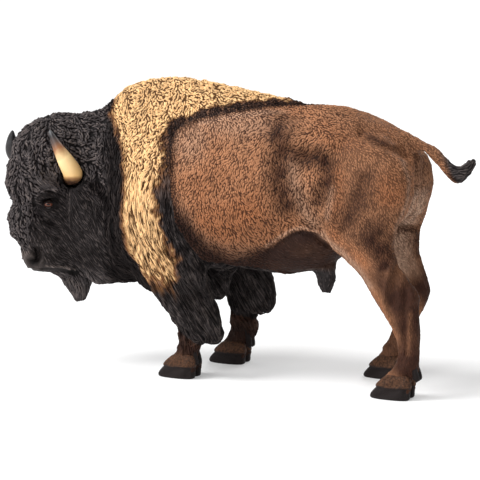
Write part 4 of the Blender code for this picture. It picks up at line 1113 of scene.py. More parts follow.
def lock_arrays(ground, up, normals, sizes):
    """Closed locks along their paths: points, faces, and (along, crest) shares for each point."""
    count, rings = ground.shape[:2]
    steps = rings - 2
    shares = np.linspace(0, 1, rings)
    up = unit(PATH_SHARE * up + ROOT_SHARE * normals[:, None])
    run = unit(np.gradient(ground, axis=1))
    over = unit(np.cross(up, run))
    wide = table(shares, LOCK_WIDTHS)[None] * sizes["width"][:, None] / 2
    high = table(shares, LOCK_HEIGHTS)[None] * sizes["height"][:, None]
    thick = THICK_BY_HEIGHT * high + THICK_BY_WIDTH * sizes["width"][:, None]
    body = slice(1, steps + 1)
    ridge = ground[:, body] + up[:, body] * high[:, body, None]
    edge = up[:, body] * (high[:, body] - thick[:, body])[..., None] + ground[:, body]
    keel = ground[:, body] + up[:, body] * (high[:, body] - KEEL * thick[:, body])[..., None]
    offset = over[:, body] * wide[:, body, None]
    start = ground[:, :1] - up[:, :1] * (0.1 * sizes["width"])[:, None, None]
    end = ground[:, -1:] + up[:, -1:] * (high[:, -1:] - 0.5 * thick[:, -1:])[..., None]
    across = np.stack((edge - offset, ridge, edge + offset, keel), 2)
    points = np.concatenate((start, across.reshape(count, -1, 3), end), 1)
    along = np.concatenate(([0.0], np.repeat(shares[body], 4), [1.0]))
    crest = np.concatenate(([0.2], np.tile((0.66, 1.0, 0.66, 0.0), steps), [0.95]))
    sides, caps = [], []
    for ring in range(steps - 1):
        for k in range(4):
            a, b = 1 + 4 * ring + k, 1 + 4 * ring + (k + 1) % 4
            sides.append((a, a + 4, b + 4, b))
    last = 1 + 4 * (steps - 1)
    for k in range(4):
        caps.append((0, 1 + k, 1 + (k + 1) % 4))
        caps.append((last + k, last + 4, last + (k + 1) % 4))
    shift = (np.arange(count) * points.shape[1])[:, None, None]
    faces = [(np.array(part)[None] + shift).reshape(-1, len(part[0])) for part in (sides, caps)]
    return points, faces, np.tile(along, count), np.tile(crest, count)


UNWRAP_ANGLE, UNWRAP_MARGIN = 62.0, 0.004


def unwrapped(surface, budget):
    """A light copy of the skin laid flat: its tree, its triangles' corners and their UVs."""
    mesh = mesh_of("unwrap", to_object(surface.points), surface.triangles)
    holder = bpy.data.objects.new("unwrap", mesh)
    bpy.context.scene.collection.objects.link(holder)
    lighten = holder.modifiers.new("lighten", "DECIMATE")
    lighten.ratio = budget / len(surface.triangles)
    bpy.context.view_layer.update()
    graph = bpy.context.evaluated_depsgraph_get()
    light = bpy.data.meshes.new_from_object(holder.evaluated_get(graph))
    holder.modifiers.clear()
    holder.data = light
    bpy.ops.object.select_all(action="DESELECT")
    holder.select_set(True)
    bpy.context.view_layer.objects.active = holder
    bpy.ops.object.mode_set(mode="EDIT")
    bpy.ops.mesh.select_all(action="SELECT")
    bpy.ops.uv.smart_project(angle_limit=math.radians(UNWRAP_ANGLE), island_margin=UNWRAP_MARGIN)
    bpy.ops.object.mode_set(mode="OBJECT")
    points, triangles = arrays_of(light)
    loops = np.empty(triangles.size, np.int32)
    light.loop_triangles.foreach_get("loops", loops)
    flat = np.empty(len(light.loops) * 2, np.float32)
    light.uv_layers.active.data.foreach_get("uv", flat)
    flat = flat.reshape(-1, 2)[loops.reshape(-1, 3)]
    tree = BVHTree.FromPolygons(points.tolist(), triangles.tolist())
    bpy.data.objects.remove(holder)
    return tree, points[triangles], flat


def flat_places(unwrap, roots):
    """Where each root lies on the flattened skin."""
    tree, corners, flat = unwrap
    faces = np.empty(len(roots), int)
    places = np.empty((len(roots), 3))
    for number, root in enumerate(roots.tolist()):
        at, _, face, _ = tree.find_nearest(root)
        faces[number] = face
        places[number] = at
    a, b, c = (corners[faces, k] for k in range(3))
    whole = np.cross(b - a, c - a)
    size = np.maximum((whole * whole).sum(1), 1e-12)
    share_b = (np.cross(places - a, c - a) * whole).sum(1) / size
    share_c = (np.cross(b - a, places - a) * whole).sum(1) / size
    shares = np.clip(np.stack((1 - share_b - share_c, share_b, share_c), 1), 0, 1)
    return (flat[faces] * shares[:, :, None]).sum(1)


PATCH = 0.003  # size of each lock's patch in the coat's UV map
# How much each size differs from lock to lock.
LOCK_SPREAD = (("length", 0.7, 1.25), ("width", 0.8, 1.25), ("height", 0.7, 1.3), ("curl", -1, 1))


def combed(roots, normals, draw):
    """The sizes of each root's lock and the way it leaves the root, a little different in each."""
    sizes = hair_at(roots)
    tangle = sizes["stir"] * (1.2 * wobble(roots, 7.0, 41) + 0.7 * wobble(roots, 2.4, 42))
    tangle = tangle + sizes["stir"] * draw.normal(0, 0.35, len(roots))
    for word, low, high in LOCK_SPREAD:
        sizes[word] = sizes[word] * draw.uniform(low, high, len(roots))
    return sizes, lie_of(roots, normals, tangle)


def add_patches(mesh, places, along, count):
    """The coat's UV map: each lock is a small patch at its root's place on the flattened skin."""
    size = len(mesh.vertices) // count
    spread = np.stack((along - 0.5, np.tile(np.linspace(-0.5, 0.5, size), count)), 1)
    flat = np.repeat(places, size, 0) + PATCH * spread
    layer = mesh.uv_layers.new(name="OFBake")
    corners = np.empty(len(mesh.loops), np.int32)
    mesh.loops.foreach_get("vertex_index", corners)
    layer.data.foreach_set("uv", flat[corners].astype(np.float32).ravel())


FLAT_FACES = 12000  # faces in the light copy of the skin that is laid flat
FLANK_END = -12.0  # how far forward the flank's hair ends and the quarters' begins


def shared_out(roots):
    """Which roots belong to each piece of the coat."""
    r = regions(roots)
    forward, left = roots[:, 0], roots[:, 1] > 0
    left_head = to_head(roots)[:, 1] > 0
    wool = r["wool"] > 0.5
    chosen = {"face_hair": (r["head"] > 0.5) & ~wool}
    taken = wool | chosen["face_hair"]
    straw = r["straw"] > 0.5
    taken |= straw
    fringe = (r["cape"] > 0.5) & ~taken
    taken |= fringe
    chosen["leg_hair"] = (np.maximum(r["hind_leg"], r["fore_leg"]) > 0.5) & ~taken
    taken |= chosen["leg_hair"]
    flank = ~taken & (forward > FLANK_END)
    for name, mask, on_left in (
        ("wool", wool, left_head), ("cape", straw, left), ("fringe", fringe, left),
        ("flank", flank, left), ("quarter", ~taken & ~flank, left),
    ):
        chosen[name + "_left"] = mask & on_left
        chosen[name + "_right"] = mask & ~on_left
    return chosen


def coat_piece(name, material, work, chosen, steps, seed):
    """One joined piece of coat from the chosen roots. A lock that would leave the skin is cut
    short, or left out when little of it would remain."""
    draw = np.random.default_rng(seed)
    roots, normals = work["roots"][chosen], work["normals"][chosen]
    sizes, ways = combed(roots, normals, draw)
    path = (work["tree"], roots, normals, ways)
    _, _, reach = marched(*path, sizes["length"], sizes["curl"], steps)
    sizes["length"] = sizes["length"] * np.where(reach < 1, 0.9 * reach, 1)
    ground, up, again = marched(*path, sizes["length"], sizes["curl"], steps)
    kept = (reach > 0.3) & (again == 1)
    roots, normals, ground, up = roots[kept], normals[kept], ground[kept], up[kept]
    sizes = {word: values[kept] for word, values in sizes.items()}
    points, faces, along, crest = lock_arrays(ground, up, normals, sizes)
    size, rings = points.shape[1], ground.shape[1]
    mesh = mesh_of(name, to_object(points.reshape(-1, 3)), faces)
    zones, pale, rust = markings(ground.reshape(-1, 3), np.repeat(normals, rings, 0))
    ring_of = np.concatenate(([0], np.repeat(np.arange(1, rings - 1), 4), [rings - 1]))
    ring_of = (np.arange(len(roots))[:, None] * rings + ring_of).ravel()
    relief = crest * (0.42 + 0.58 * ramp(along, 0.0, 0.4))
    low = regions(roots)["straw"] * ramp(66.0 - roots[:, 2], 0, 14)
    missed = np.where(draw.random(len(roots)) < 0.22 * low, 0.3, 1.0)
    relief = relief * np.repeat(missed * draw.uniform(0.5, 1.2, len(roots)), size)
    add_vectors(mesh, "zones", zones[ring_of])
    add_vectors(mesh, "strand", np.stack((relief, pale[ring_of], rust[ring_of]), 1))
    add_patches(mesh, flat_places(work["unwrap"], roots), along, len(roots))
    return add_piece(name, mesh, material)


# ------------------------------------------------------------------------------------------------
# Shader building


class Wire:
    """A shader socket on which arithmetic adds Math nodes."""

    def __init__(self, tree, socket):
        self.tree = tree
        self.socket = socket

    def maths(self, operation, first, second=None):
        node = self.tree.nodes.new("ShaderNodeMath")
        node.operation = operation
        for slot, value in zip(node.inputs, (first, second)):
            if isinstance(value, Wire):
                self.tree.links.new(value.socket, slot)
            elif value is not None:
                slot.default_value = value
        return Wire(self.tree, node.outputs[0])

    def __add__(self, other):
        return self.maths("ADD", self, other)

    __radd__ = __add__

    def __sub__(self, other):
        return self.maths("SUBTRACT", self, other)

    def __rsub__(self, other):
        return self.maths("SUBTRACT", other, self)

    def __mul__(self, other):
        return self.maths("MULTIPLY", self, other)

    __rmul__ = __mul__

    def __truediv__(self, other):
        return self.maths("DIVIDE", self, other)

    def __pow__(self, other):
        return self.maths("POWER", self, other)

    def clamped(self):
        return self.maths("MINIMUM", self.maths("MAXIMUM", self, 0.0), 1.0)


class Finish:
    """A painted finish: one material and its Principled shader."""

    def __init__(self, name):
        self.material = bpy.data.materials.new(name)
        self.material.use_nodes = True
        self.tree = self.material.node_tree
        self.shader = self.tree.nodes["Principled BSDF"]

    def node(self, kind, settings=None, sockets=None, output=0):
        """A node of that type, with its settings made first, then its sockets linked or valued."""
        node = self.tree.nodes.new(kind)
        for word, value in (settings or {}).items():
            if word == "stops":
                ramp_of = node.color_ramp
                while len(ramp_of.elements) < len(value):
                    ramp_of.elements.new(0.5)
                for element, (position, colour) in zip(ramp_of.elements, value):
                    element.position = position
                    element.color = (*colour, 1)
            else:
                setattr(node, word, value)
        self.fill(node, sockets or {})
        return Wire(self.tree, node.outputs[output])

    def fill(self, node, sockets):
        for key, value in sockets.items():
            if isinstance(value, Wire):
                self.tree.links.new(value.socket, node.inputs[key])
            elif node.inputs[key].type == "RGBA":
                node.inputs[key].default_value = (*value, 1)
            else:
                node.inputs[key].default_value = value

    def mixed(self, first, second, share, blend="MIX"):
        settings = {"data_type": "RGBA", "blend_type": blend}
        return self.node("ShaderNodeMix", settings, {0: share, 6: first, 7: second}, 2)

    def noise(self, size, detail=2.0, roughness=0.5, stretch=(1, 1, 1)):
        """Noise whose bumps are about size millimetres across."""
        place = self.node("ShaderNodeTexCoord", output=3)
        place = self.node("ShaderNodeMapping", None, {"Vector": place, "Scale": stretch})
        sockets = {"Vector": place, "Scale": 1 / (size * MM), "Detail": detail, "Roughness": roughness}
        return self.node("ShaderNodeTexNoise", None, sockets)

    def parts_of(self, attribute):
        """The three numbers of a vector attribute."""
        node = self.tree.nodes.new("ShaderNodeSeparateXYZ")
        vector = self.node("ShaderNodeAttribute", {"attribute_name": attribute}, output=1)
        self.tree.links.new(vector.socket, node.inputs[0])
        return [Wire(self.tree, socket) for socket in node.outputs]

    def bump(self, height, distance, strength=1.0):
        sockets = {"Height": height, "Distance": distance * MM, "Strength": strength}
        return self.node("ShaderNodeBump", None, sockets)

    def set(self, **sockets):
        """Fills the shader's inputs, named in lower case, and gives the finished material."""
        for key, value in sockets.items():
            word = key.replace("_", " ").title().replace("Ior", "IOR")
            self.fill(self.shader, {word: value})
        return self.material


def painted_hair(name, paints, skin):
    """The paint of skin and coat: a light colour on the ridges and a dark wash in the grooves.

    The black is charcoal deepened to soot, with ash dry-brushed on its ridges in patches. The rest
    goes from chestnut and russet over pale and umber to the cape's amber and straw."""
    finish = Finish(name)
    straw, coal, shade = finish.parts_of("zones")
    relief, pale, rust = finish.parts_of("strand")
    cloud = finish.noise(9.0, 2.0)
    speck = finish.noise(0.6, 3.0, 0.65)
    patch = (finish.noise(2.2, 2.0) * 3.2 - 1.1).clamped()  # where the dry brush caught
    # The shade channel carries umber and soot paint, and also the painted shade of hollows, creases and
    # folds.
    black = finish.mixed(paints.charcoal, paints.soot, (shade + (1 - patch) * 0.30).clamped())
    dry = ((relief + (speck - 0.5) * 0.5 - 0.80) * 4.0).clamped()
    dry = dry * (patch * 0.40 + 0.30) * (1 - shade * 0.8)
    black = finish.mixed(black, paints.ash, (pale + dry).clamped())
    gold = (straw * 1.9 - 0.85).clamped()
    amber = (straw * 2.2 - 0.1).clamped()
    warm = (rust * 0.8 + (cloud * 1.4 - 0.6).clamped() * 0.4).clamped()
    lights = finish.mixed(paints.chestnut, paints.russet, warm)
    lights = finish.mixed(lights, paints.pale, pale)
    lights = finish.mixed(lights, paints.umber, shade)
    lights = finish.mixed(lights, black, coal)
    lights = finish.mixed(lights, paints.amber, amber)
    lights = finish.mixed(lights, paints.straw, gold)
    grooves = finish.mixed(paints.chestnut_wash, paints.umber_wash, shade)
    grooves = finish.mixed(grooves, paints.charcoal_wash, coal)
    grooves = finish.mixed(grooves, paints.amber_wash, amber)
    grooves = finish.mixed(grooves, paints.straw_wash, gold)
    height = ((relief * 1.15 + (speck - 0.5) * 0.5 - 0.5) * 1.4 + 0.40 + patch * 0.16).clamped()
    colour = finish.mixed(grooves, lights, height)
    fine = finish.noise(0.35, 2.0, 0.6)
    rough = 0.60 + (speck - 0.5) * 0.2
    normal = finish.bump(fine + speck, 0.05 if skin else 0.03)
    return finish.set(base_color=colour, roughness=rough, normal=normal, specular_ior_level=0.08)


def horn_finish(paints):
    """Dark at the root, cream along the horn and black towards the tip."""
    finish = Finish("horn_paint")
    along, _, _ = finish.parts_of("strand")
    cloud = finish.noise(2.2, 3.0)
    place = along + (cloud - 0.5) * 0.10
    stops = (
        (0.0, (0.05, 0.022, 0.012)), (0.09, (0.36, 0.18, 0.07)), (0.20, tuple(paints.horn)),
        (0.48, tuple(paints.horn_glow)), (0.61, (0.30, 0.13, 0.055)), (0.72, (0.085, 0.055, 0.045)),
        (0.86, (0.017, 0.015, 0.016)), (1.0, (0.10, 0.10, 0.105)),
    )
    colour = finish.node("ShaderNodeValToRGB", {"stops": stops}, {0: place})
    fine = finish.noise(0.5, 2.0, 0.6)
    normal = finish.bump(fine, 0.02)
    rough = 0.38 + cloud * 0.12
    return finish.set(base_color=colour, roughness=rough, normal=normal, specular_ior_level=0.35)


FUR_EDGE = 1600.0  # a hoof's paint turns from horn to fur over 1 / 1600 of a metre


def hoof_finish(name, paints, fur_line):
    """Dark horn up to the fur line, a height in metres, and brown painted fur above it."""
    finish = Finish(name)
    up = finish.node("ShaderNodeSeparateXYZ", None, {0: finish.node("ShaderNodeTexCoord", output=3)}, 2)
    cloud = finish.noise(1.6, 3.0)
    fur = finish.noise(0.55, 3.0, 0.6)
    rim = finish.mixed(paints.umber_wash, paints.hoof_rim, (fur * 2.4 - 0.7).clamped())
    furred = ((up - fur_line) * FUR_EDGE + (cloud - 0.5) * 0.9).clamped()
    colour = finish.mixed(paints.hoof, rim, furred)
    rings = finish.node("ShaderNodeTexWave", {"bands_direction": "Z"}, {"Scale": 330.0, "Distortion": 2.0})
    normal = finish.bump(rings + cloud + fur * 1.5, 0.04)
    rough = 0.5 + cloud * 0.15
    return finish.set(base_color=colour, roughness=rough, normal=normal, specular_ior_level=0.2)


def eye_finish(paints):
    """A glossy eye, from the pupil through the iris to its dark rim."""
    finish = Finish("eye_paint")
    out, _, _ = finish.parts_of("strand")
    colour = finish.node("ShaderNodeValToRGB", {"stops": (
        (0.0, (0.004, 0.003, 0.003)), (0.20, (0.006, 0.003, 0.002)), (0.32, tuple(paints.iris)),
        (0.62, tuple(paints.iris)), (0.76, (0.012, 0.006, 0.004)), (1.0, (0.010, 0.006, 0.005)),
    )}, {0: out})
    return finish.set(
        base_color=colour, roughness=0.14, coat_weight=0.5, coat_roughness=0.03,
        specular_ior_level=0.12,
    )


# ------------------------------------------------------------------------------------------------
# Hard pieces

# Places through the middle of a horn from its root, in the head's frame, and its radius there.
HORN_ROWS = (
    (-1.8, 7.4, -2.1, 2.9), (-1.7, 10.8, -1.9, 2.95), (0.0, 14.4, -0.6, 2.95), (3.0, 16.9, 2.7, 2.55),
    (5.2, 16.8, 6.6, 1.78), (6.2, 15.3, 10.0, 1.06), (6.5, 13.9, 12.2, 0.48),
)
# (foot, middle of the hoof forward and left, back of the fetlock forward, height of its dewclaws
# and half their length)
FEET = (
    ("fore_left", 33.2, 12.3, 27.0, 8.6, 2.9),
    ("fore_right", 27.4, -12.4, 20.0, 9.9, 4.2),
    ("hind_left", -36.0, 12.3, -43.9, 10.2, 2.6),
    ("hind_right", -24.8, -12.4, -31.8, 9.6, 2.6),
)
HOOF_LENGTH, HOOF_WIDTH, CLEFT = 12.2, 8.6, 0.32


def rounded_tube(rows, around, between):
    """Points and faces of a closed round tube through (forward, left, up, radius) rows, and the
    share along it of each point."""
    rows = spline(rows, between)
    centres, radii = rows[:, :3], rows[:, 3]
    run = unit(np.gradient(centres, axis=0))
    across = unit(np.cross(run, (0.0, 0.0, 1.0)))
    over = np.cross(run, across)
    angles = np.linspace(0, 2 * math.pi, around, endpoint=False)
    aside, above = np.cos(angles)[None, :, None], np.sin(angles)[None, :, None]
    ring = across[:, None] * aside + over[:, None] * above
    body = centres[:, None] + ring * radii[:, None, None]
    tip = centres[-1] + run[-1] * radii[-1] * 0.9
    points = np.vstack((body.reshape(-1, 3), centres[:1], [tip]))
    share = np.concatenate((np.repeat(np.linspace(0, 1, between), around), [0.0, 1.0]))
    return points, [ring_faces(between, around), end_fans(between, around)], share


def outward(mesh):
    """The mesh with every face turned outward."""
    bm = bmesh.new()
    bm.from_mesh(mesh)
    bmesh.ops.recalc_face_normals(bm, faces=bm.faces)
    bm.to_mesh(mesh)
    bm.free()
    return mesh


RIGHT_HORN_STOUT = (0, 0, 0, 0, 0.75, 0.5, 0.0)  # how much thicker the right horn is at each row
HORN_ROOT = 0.16  # the share of a horn that the wool hides
# Where the cream may start, by height in the head's frame. Lower down the horn keeps the root's dark brown,
# partly as painted shade on its underside.
HORN_ROOT_TONES = ((-3.6, 0.0), (-2.8, 0.07), (-1.7, 0.2), (-1.6, 1.0))


def horn_mesh(side):
    """One horn, whose attribute runs along it from 0 at the wool to 1 at the tip."""
    rows = []
    for (a, left, up, radius), stout in zip(HORN_ROWS, RIGHT_HORN_STOUT):
        stout = stout * (side < 0)
        rows.append((*from_head([(a, left * side, up - 0.7 * stout)])[0], radius + stout))
    points, faces, share = rounded_tube(rows, 36, 64)
    height = to_head(points)[:, 2]
    mesh = outward(mesh_of("horn", to_object(points), faces))
    visible = np.clip((share - HORN_ROOT) / (1 - HORN_ROOT), 0, 1)
    visible = np.minimum(visible, table(height, HORN_ROOT_TONES))
    if side < 0:
        visible = np.clip(visible * 1.5, 0.72, 0.87)  # the right horn keeps the tip's dark tones all along
    add_vectors(mesh, "strand", np.stack((visible, share, share), 1))
    return mesh


EYE_RADIUS = 1.62
GAZE = (0.42, 0.90)  # forward and outward
IRIS_ALONG, IRIS_UP, IRIS_RADIUS = 0.72, 1.35, 1.6  # it is wider than tall


def eye_mesh(side):
    """A ball whose attribute runs from 0 at the pupil to 1 at the rim of the iris."""
    bm = bmesh.new()
    bmesh.ops.create_uvsphere(bm, u_segments=48, v_segments=32, radius=EYE_RADIUS)
    local = np.array([vertex.co for vertex in bm.verts])
    gaze = unit(np.array((GAZE[0], GAZE[1] * side, 0.0)))
    off = local - (local @ gaze)[:, None] * gaze
    lateral = np.cross(gaze, (0, 0, 1))
    wide, tall = off @ lateral, off[:, 2]
    out = np.hypot(wide * IRIS_ALONG, tall * IRIS_UP) / IRIS_RADIUS
    out = np.where(local @ gaze < 0, 1.0, np.clip(out, 0, 1))
    mesh = bpy.data.meshes.new("eye")
    bm.to_mesh(mesh)
    bm.free()
    placed = to_object(from_head(local + EYE_SET * (1, side, 1)))
    mesh.vertices.foreach_set("co", placed.astype(np.float32).ravel())
    mesh.shade_smooth()
    add_vectors(mesh, "strand", np.stack((out, tall, wide), 1))
    return outward(mesh)


# Up a hoof: height, how far back its middle is, and shares of its length and width. The notch
# above 3.3 mm is where the fur lobe of the foot begins.
HOOF_ROWS = (
    (0.0, 0.05, 0.90, 0.88), (0.22, 0.0, 0.975, 0.965), (0.8, -0.05, 1.0, 1.0), (1.7, -0.30, 0.965, 1.0),
    (2.7, -0.75, 0.90, 0.97), (3.3, -1.0, 0.85, 0.93), (3.7, -1.05, 0.885, 0.975), (4.3, -1.2, 0.875, 0.97),
    (5.2, -1.55, 0.80, 0.90), (6.2, -2.0, 0.69, 0.80), (6.9, -2.3, 0.58, 0.68), (7.3, -2.5, 0.40, 0.48),
)
FUR_LINE = 3.5  # height at which a hoof's paint turns from horn to fur
NO_FUR_LINE = 1.0  # a height in metres that is above the whole figure
# How far the furred foot may reach over a hoof: height, and the same shares as the hoof's rows.
FETLOCK_ROWS = (
    (0.0, 0.0, 0.84, 0.84), (2.7, -0.75, 0.84, 0.92), (3.7, -1.1, 0.79, 0.88), (4.1, -1.2, 0.87, 0.99),
    (4.9, -1.5, 0.83, 0.95), (6.5, -2.0, 0.70, 0.88), (8.5, -2.8, 0.57, 0.80), (11.0, -4.0, 0.50, 0.76),
)
# Rings of a lid from its root to its rim and back under it: (share of the opening, radius).
LID_RINGS = (
    (2.35, 1.28), (2.05, 1.54), (1.75, 1.75), (1.45, 1.88), (1.2, 1.92), (1.06, 1.86),
    (1.0, 1.77), (1.02, 1.65),
)
# Half the opening's width, its height above and below the middle, and how pointed its corners are.
LID_WIDE, LID_ABOVE, LID_BELOW, LID_POINT = 1.50, 0.62, 0.50, 1.15
LID_BULGE = 5.6  # square millimetres: the larger, the closer the lids keep to the gaze


def lid_mesh(side, around=56):
    """Both lids of one eye: a raised ring that leaves an almond open over the ball."""
    gaze = unit(np.array((GAZE[0], GAZE[1] * side, -0.08)))
    lateral = unit(np.cross(gaze, (0.0, 0.0, 1.0))) * side
    upward = np.cross(lateral, gaze) * side
    upward = upward * np.sign(upward[2])
    angles = np.linspace(0, 2 * math.pi, around, endpoint=False)
    wide, rise = LID_WIDE * np.cos(angles), np.sin(angles)
    tall = np.where(rise > 0, LID_ABOVE, LID_BELOW) * np.sign(rise) * np.abs(rise) ** LID_POINT
    rings = []
    for share, radius in LID_RINGS:
        x, y = wide * (0.45 + 0.55 * share), tall * share
        out = np.sqrt(np.maximum(1.0 - (x * x + y * y) / LID_BULGE, 0.05))
        way = x[:, None] / EYE_RADIUS * lateral + y[:, None] / EYE_RADIUS * upward
        way = unit(way + out[:, None] * gaze)
        rings.append(way * radius)
    rings = np.array(rings).reshape(-1, 3) + EYE_SET * (1, side, 1)
    mesh = mesh_of("lids", to_object(from_head(rings)), ring_faces(len(LID_RINGS), around))
    add_vectors(mesh, "zones", np.tile((0.0, 1.0, 0.85), (len(rings), 1)))
    add_vectors(mesh, "strand", np.tile((0.60, 0.0, 0.0), (len(rings), 1)))
    return outward(mesh)


# How wide a toe is towards the cleft, how flat that side is, and how blunt the heel.
CLEFT_SIDE, CLEFT_FLATNESS, HEEL_BLUNTNESS = 0.86, 0.45, 0.7


def toe_mesh(forward, left, outer, around=56):
    """One toe of a cloven hoof: domed, pointed ahead, blunt at the heel and flat towards the cleft."""
    long, wide = HOOF_LENGTH / 2, HOOF_WIDTH / 4 - CLEFT / 4
    middle = left + (HOOF_WIDTH / 4 + CLEFT / 4) * outer
    rows = spline(HOOF_ROWS, 30)
    angles = np.linspace(0, 2 * math.pi, around, endpoint=False)
    out, ahead = np.cos(angles), np.sin(angles)
    across = np.where(out > 0, out, -CLEFT_SIDE * np.abs(out) ** CLEFT_FLATNESS)
    along = np.where(ahead > 0, ahead, -np.abs(ahead) ** HEEL_BLUNTNESS)
    rings = []
    for up, back, length, width in rows:
        rings.append(np.stack((
            forward + back + along * long * length,
            middle + across * wide * width * outer,
            np.full(around, max(up, 0.0)),
        ), 1))
    rings = np.array(rings)
    ends = np.array([rings[0].mean(0), rings[-1].mean(0) + (0, 0, 0.15)])
    points = np.vstack((rings.reshape(-1, 3), ends))
    faces = [ring_faces(len(rings), around), end_fans(len(rings), around)]
    mesh = outward(mesh_of("toe", to_object(points), faces))
    mesh.set_sharp_from_angle(angle=math.radians(50))
    return mesh


def dewclaw_mesh(forward, left, up, long, side):
    """One dewclaw: a blunt claw that hangs down the back of the pastern."""
    left += 1.2 * side
    forward += 0.7
    rows = (
        (forward + 0.5, left - 0.2 * side, up - 4.6 + 2 * long, 0.45),
        (forward + 0.1, left, up - 4.6 + 1.4 * long, 0.8),
        (forward - 0.4, left, up - 4.4 + 0.6 * long, 0.95),
        (forward - 0.7, left, up - 3.9, 0.85), (forward - 0.7, left, up - 4.4, 0.5),
    )
    points, faces, _ = rounded_tube(rows, 24, 28)
    return outward(mesh_of("dewclaw", to_object(points), faces))


# ------------------------------------------------------------------------------------------------
# What a user may change


def colour(name, description, hexed):
    """A colour property from a display colour, kept in linear light."""
    values = [int(hexed[k : k + 2], 16) / 255 for k in (0, 2, 4)]
    linear = [v / 12.92 if v <= 0.04045 else ((v + 0.055) / 1.055) ** 2.4 for v in values]
    return FloatVectorProperty(
        name=name, description=description, subtype="COLOR", size=3, min=0, max=1, default=linear
    )


class BisonPaints(bpy.types.PropertyGroup):
    straw: colour("Straw", "Highlights of the cape", "FFD29A")
    straw_wash: colour("Straw wash", "Grooves of the cape", "583A20")
    amber: colour("Amber", "Edges of the cape's straw", "7C5431")
    amber_wash: colour("Amber wash", "Grooves at the cape's edges", "2C1A0E")
    chestnut: colour("Chestnut", "Flank and quarters", "B3805E")
    chestnut_wash: colour("Chestnut wash", "Grooves of the flank", "3A2017")
    russet: colour("Russet", "Warmer paint on the flank and quarters", "A76339")
    # Pale tan also stands for painted highlights on the ribs, folds and thighs.
    pale: colour("Pale tan", "Rear faces and upper flank", "C6A48C")
    umber: colour("Umber", "Belly, legs and shadowed hollows", "43291F")
    umber_wash: colour("Umber wash", "Grooves of the legs", "190F0B")
    charcoal: colour("Charcoal", "Wool of the crown", "504A4A")
    charcoal_wash: colour("Charcoal wash", "Grooves of the wool", "0C0909")
    # Soot also stands for painted shade in the creases of the neck and the face's folds.
    soot: colour("Soot", "Deepest black of the face, neck and fringe", "171212")
    ash: colour("Ash", "Lighter line along the lip", "7A6E69")
    horn: colour("Horn", "Horn near its base", "F6C884")
    horn_glow: colour("Horn glow", "Middle of the horn", "FBDBA2")
    hoof: colour("Hoof", "Hoof wall", "1E1615")
    hoof_rim: colour("Hoof rim", "Hoof near the hair", "6B4832")
    iris: colour("Iris", "Eye", "5E3222")


class BisonSizes(bpy.types.PropertyGroup):
    voxel: FloatProperty(
        name="Skin grain", description="Size of the skin's faces", default=0.42 * MM, min=0.3 * MM,
        unit="LENGTH",
    )
    grown: FloatProperty(
        name="Seam growth", description="How far the flesh grows to close its seams",
        default=0.25 * MM, unit="LENGTH",
    )
    lock_rings: IntProperty(
        name="Lock rings", description="Rings in each long lock of hair", default=4, min=3, max=8
    )


def paints_of(context):
    return context.scene.bison_paints


# What one operator leaves for the next: the skin, its tree and flat copy, and the hair's roots.
WORK = {}


class BISON_OT_skin(bpy.types.Operator):
    """Fuse the flesh into one skin and work its folds, lids, nostrils and tendons"""

    bl_idname = "bison.skin"
    bl_label = "Skin"

    def execute(self, context):
        sizes = context.scene.bison_sizes
        grown = sizes.grown / MM
        skin = worked(fused_flesh(grown, sizes.voxel / MM), grown)
        normals = skin.normals()
        mesh = mesh_of("skin", to_object(skin.points), skin.triangles)
        zones, pale, rust = markings(skin.points, normals)
        r = regions(skin.points)
        bare = np.maximum(r["bare_belly"], np.maximum(r["fore_leg"], r["hind_leg"]))
        bare = np.maximum(bare, np.maximum(r["face"], 0.4 * r["short"]))
        relief = 0.22 + 0.30 * bare - 0.14 * r["cape"] * (1 - r["face"]) - 0.12 * r["face"]
        add_vectors(mesh, "zones", zones)
        add_vectors(mesh, "strand", np.stack((relief, pale, rust), 1))
        material = painted_hair("skin_paint", paints_of(context), skin=True)
        add_piece("skin", mesh, material, flesh_nodes())
        WORK["skin"] = skin
        WORK["tree"] = skin.tree()
        return {"FINISHED"}


class BISON_OT_roots(bpy.types.Operator):
    """Spread the roots of the moulded hair over the skin and lay the skin flat for their paint"""

    bl_idname = "bison.roots"
    bl_label = "Hair roots"

    def execute(self, context):
        WORK["unwrap"] = unwrapped(WORK["skin"], FLAT_FACES)
        WORK["roots"], WORK["normals"] = scattered(WORK["skin"], 51)
        WORK["chosen"] = shared_out(WORK["roots"])
        return {"FINISHED"}


# (piece, slot, how many rings its locks have less than the setting, seed)
COAT = (
    ("wool_left", "charcoal_wool", 0, 61),
    ("wool_right", "charcoal_wool", 0, 72),
    ("face_hair", "charcoal_wool", 1, 62),
    ("cape_left", "straw_cape", 0, 63),
    ("cape_right", "straw_cape", 0, 64),
    ("fringe_left", "charcoal_wool", 0, 65),
    ("fringe_right", "charcoal_wool", 0, 66),
    ("leg_hair", "umber_leg", 1, 67),
    ("flank_left", "chestnut_flank", 1, 68),
    ("flank_right", "chestnut_flank", 1, 69),
    ("quarter_left", "chestnut_flank", 1, 70),
    ("quarter_right", "chestnut_flank", 1, 71),
)


class BISON_OT_coat(bpy.types.Operator):
    """Grow the moulded coat as joined locks that lie along the body"""

    bl_idname = "bison.coat"
    bl_label = "Coat"

    def execute(self, context):
        material = painted_hair("coat_paint", paints_of(context), skin=False)
        for name, slot, fewer, seed in COAT:
            chosen = WORK["chosen"][name]
            if not chosen.any():
                raise ValueError(f"no roots for {name}")
            rings = context.scene.bison_sizes.lock_rings - fewer
            coat_piece(name, material, WORK, chosen, rings, seed)
        return {"FINISHED"}


class BISON_OT_horns(bpy.types.Operator):
    """Shape both horns, cream at the base and dark at the tip"""

    bl_idname = "bison.horns"
    bl_label = "Horns"

    def execute(self, context):
        material = horn_finish(paints_of(context))
        for side, word in ((1, "left"), (-1, "right")):
            add_piece("horn_shape_" + word, horn_mesh(side), material, ["horn_" + word])
        return {"FINISHED"}


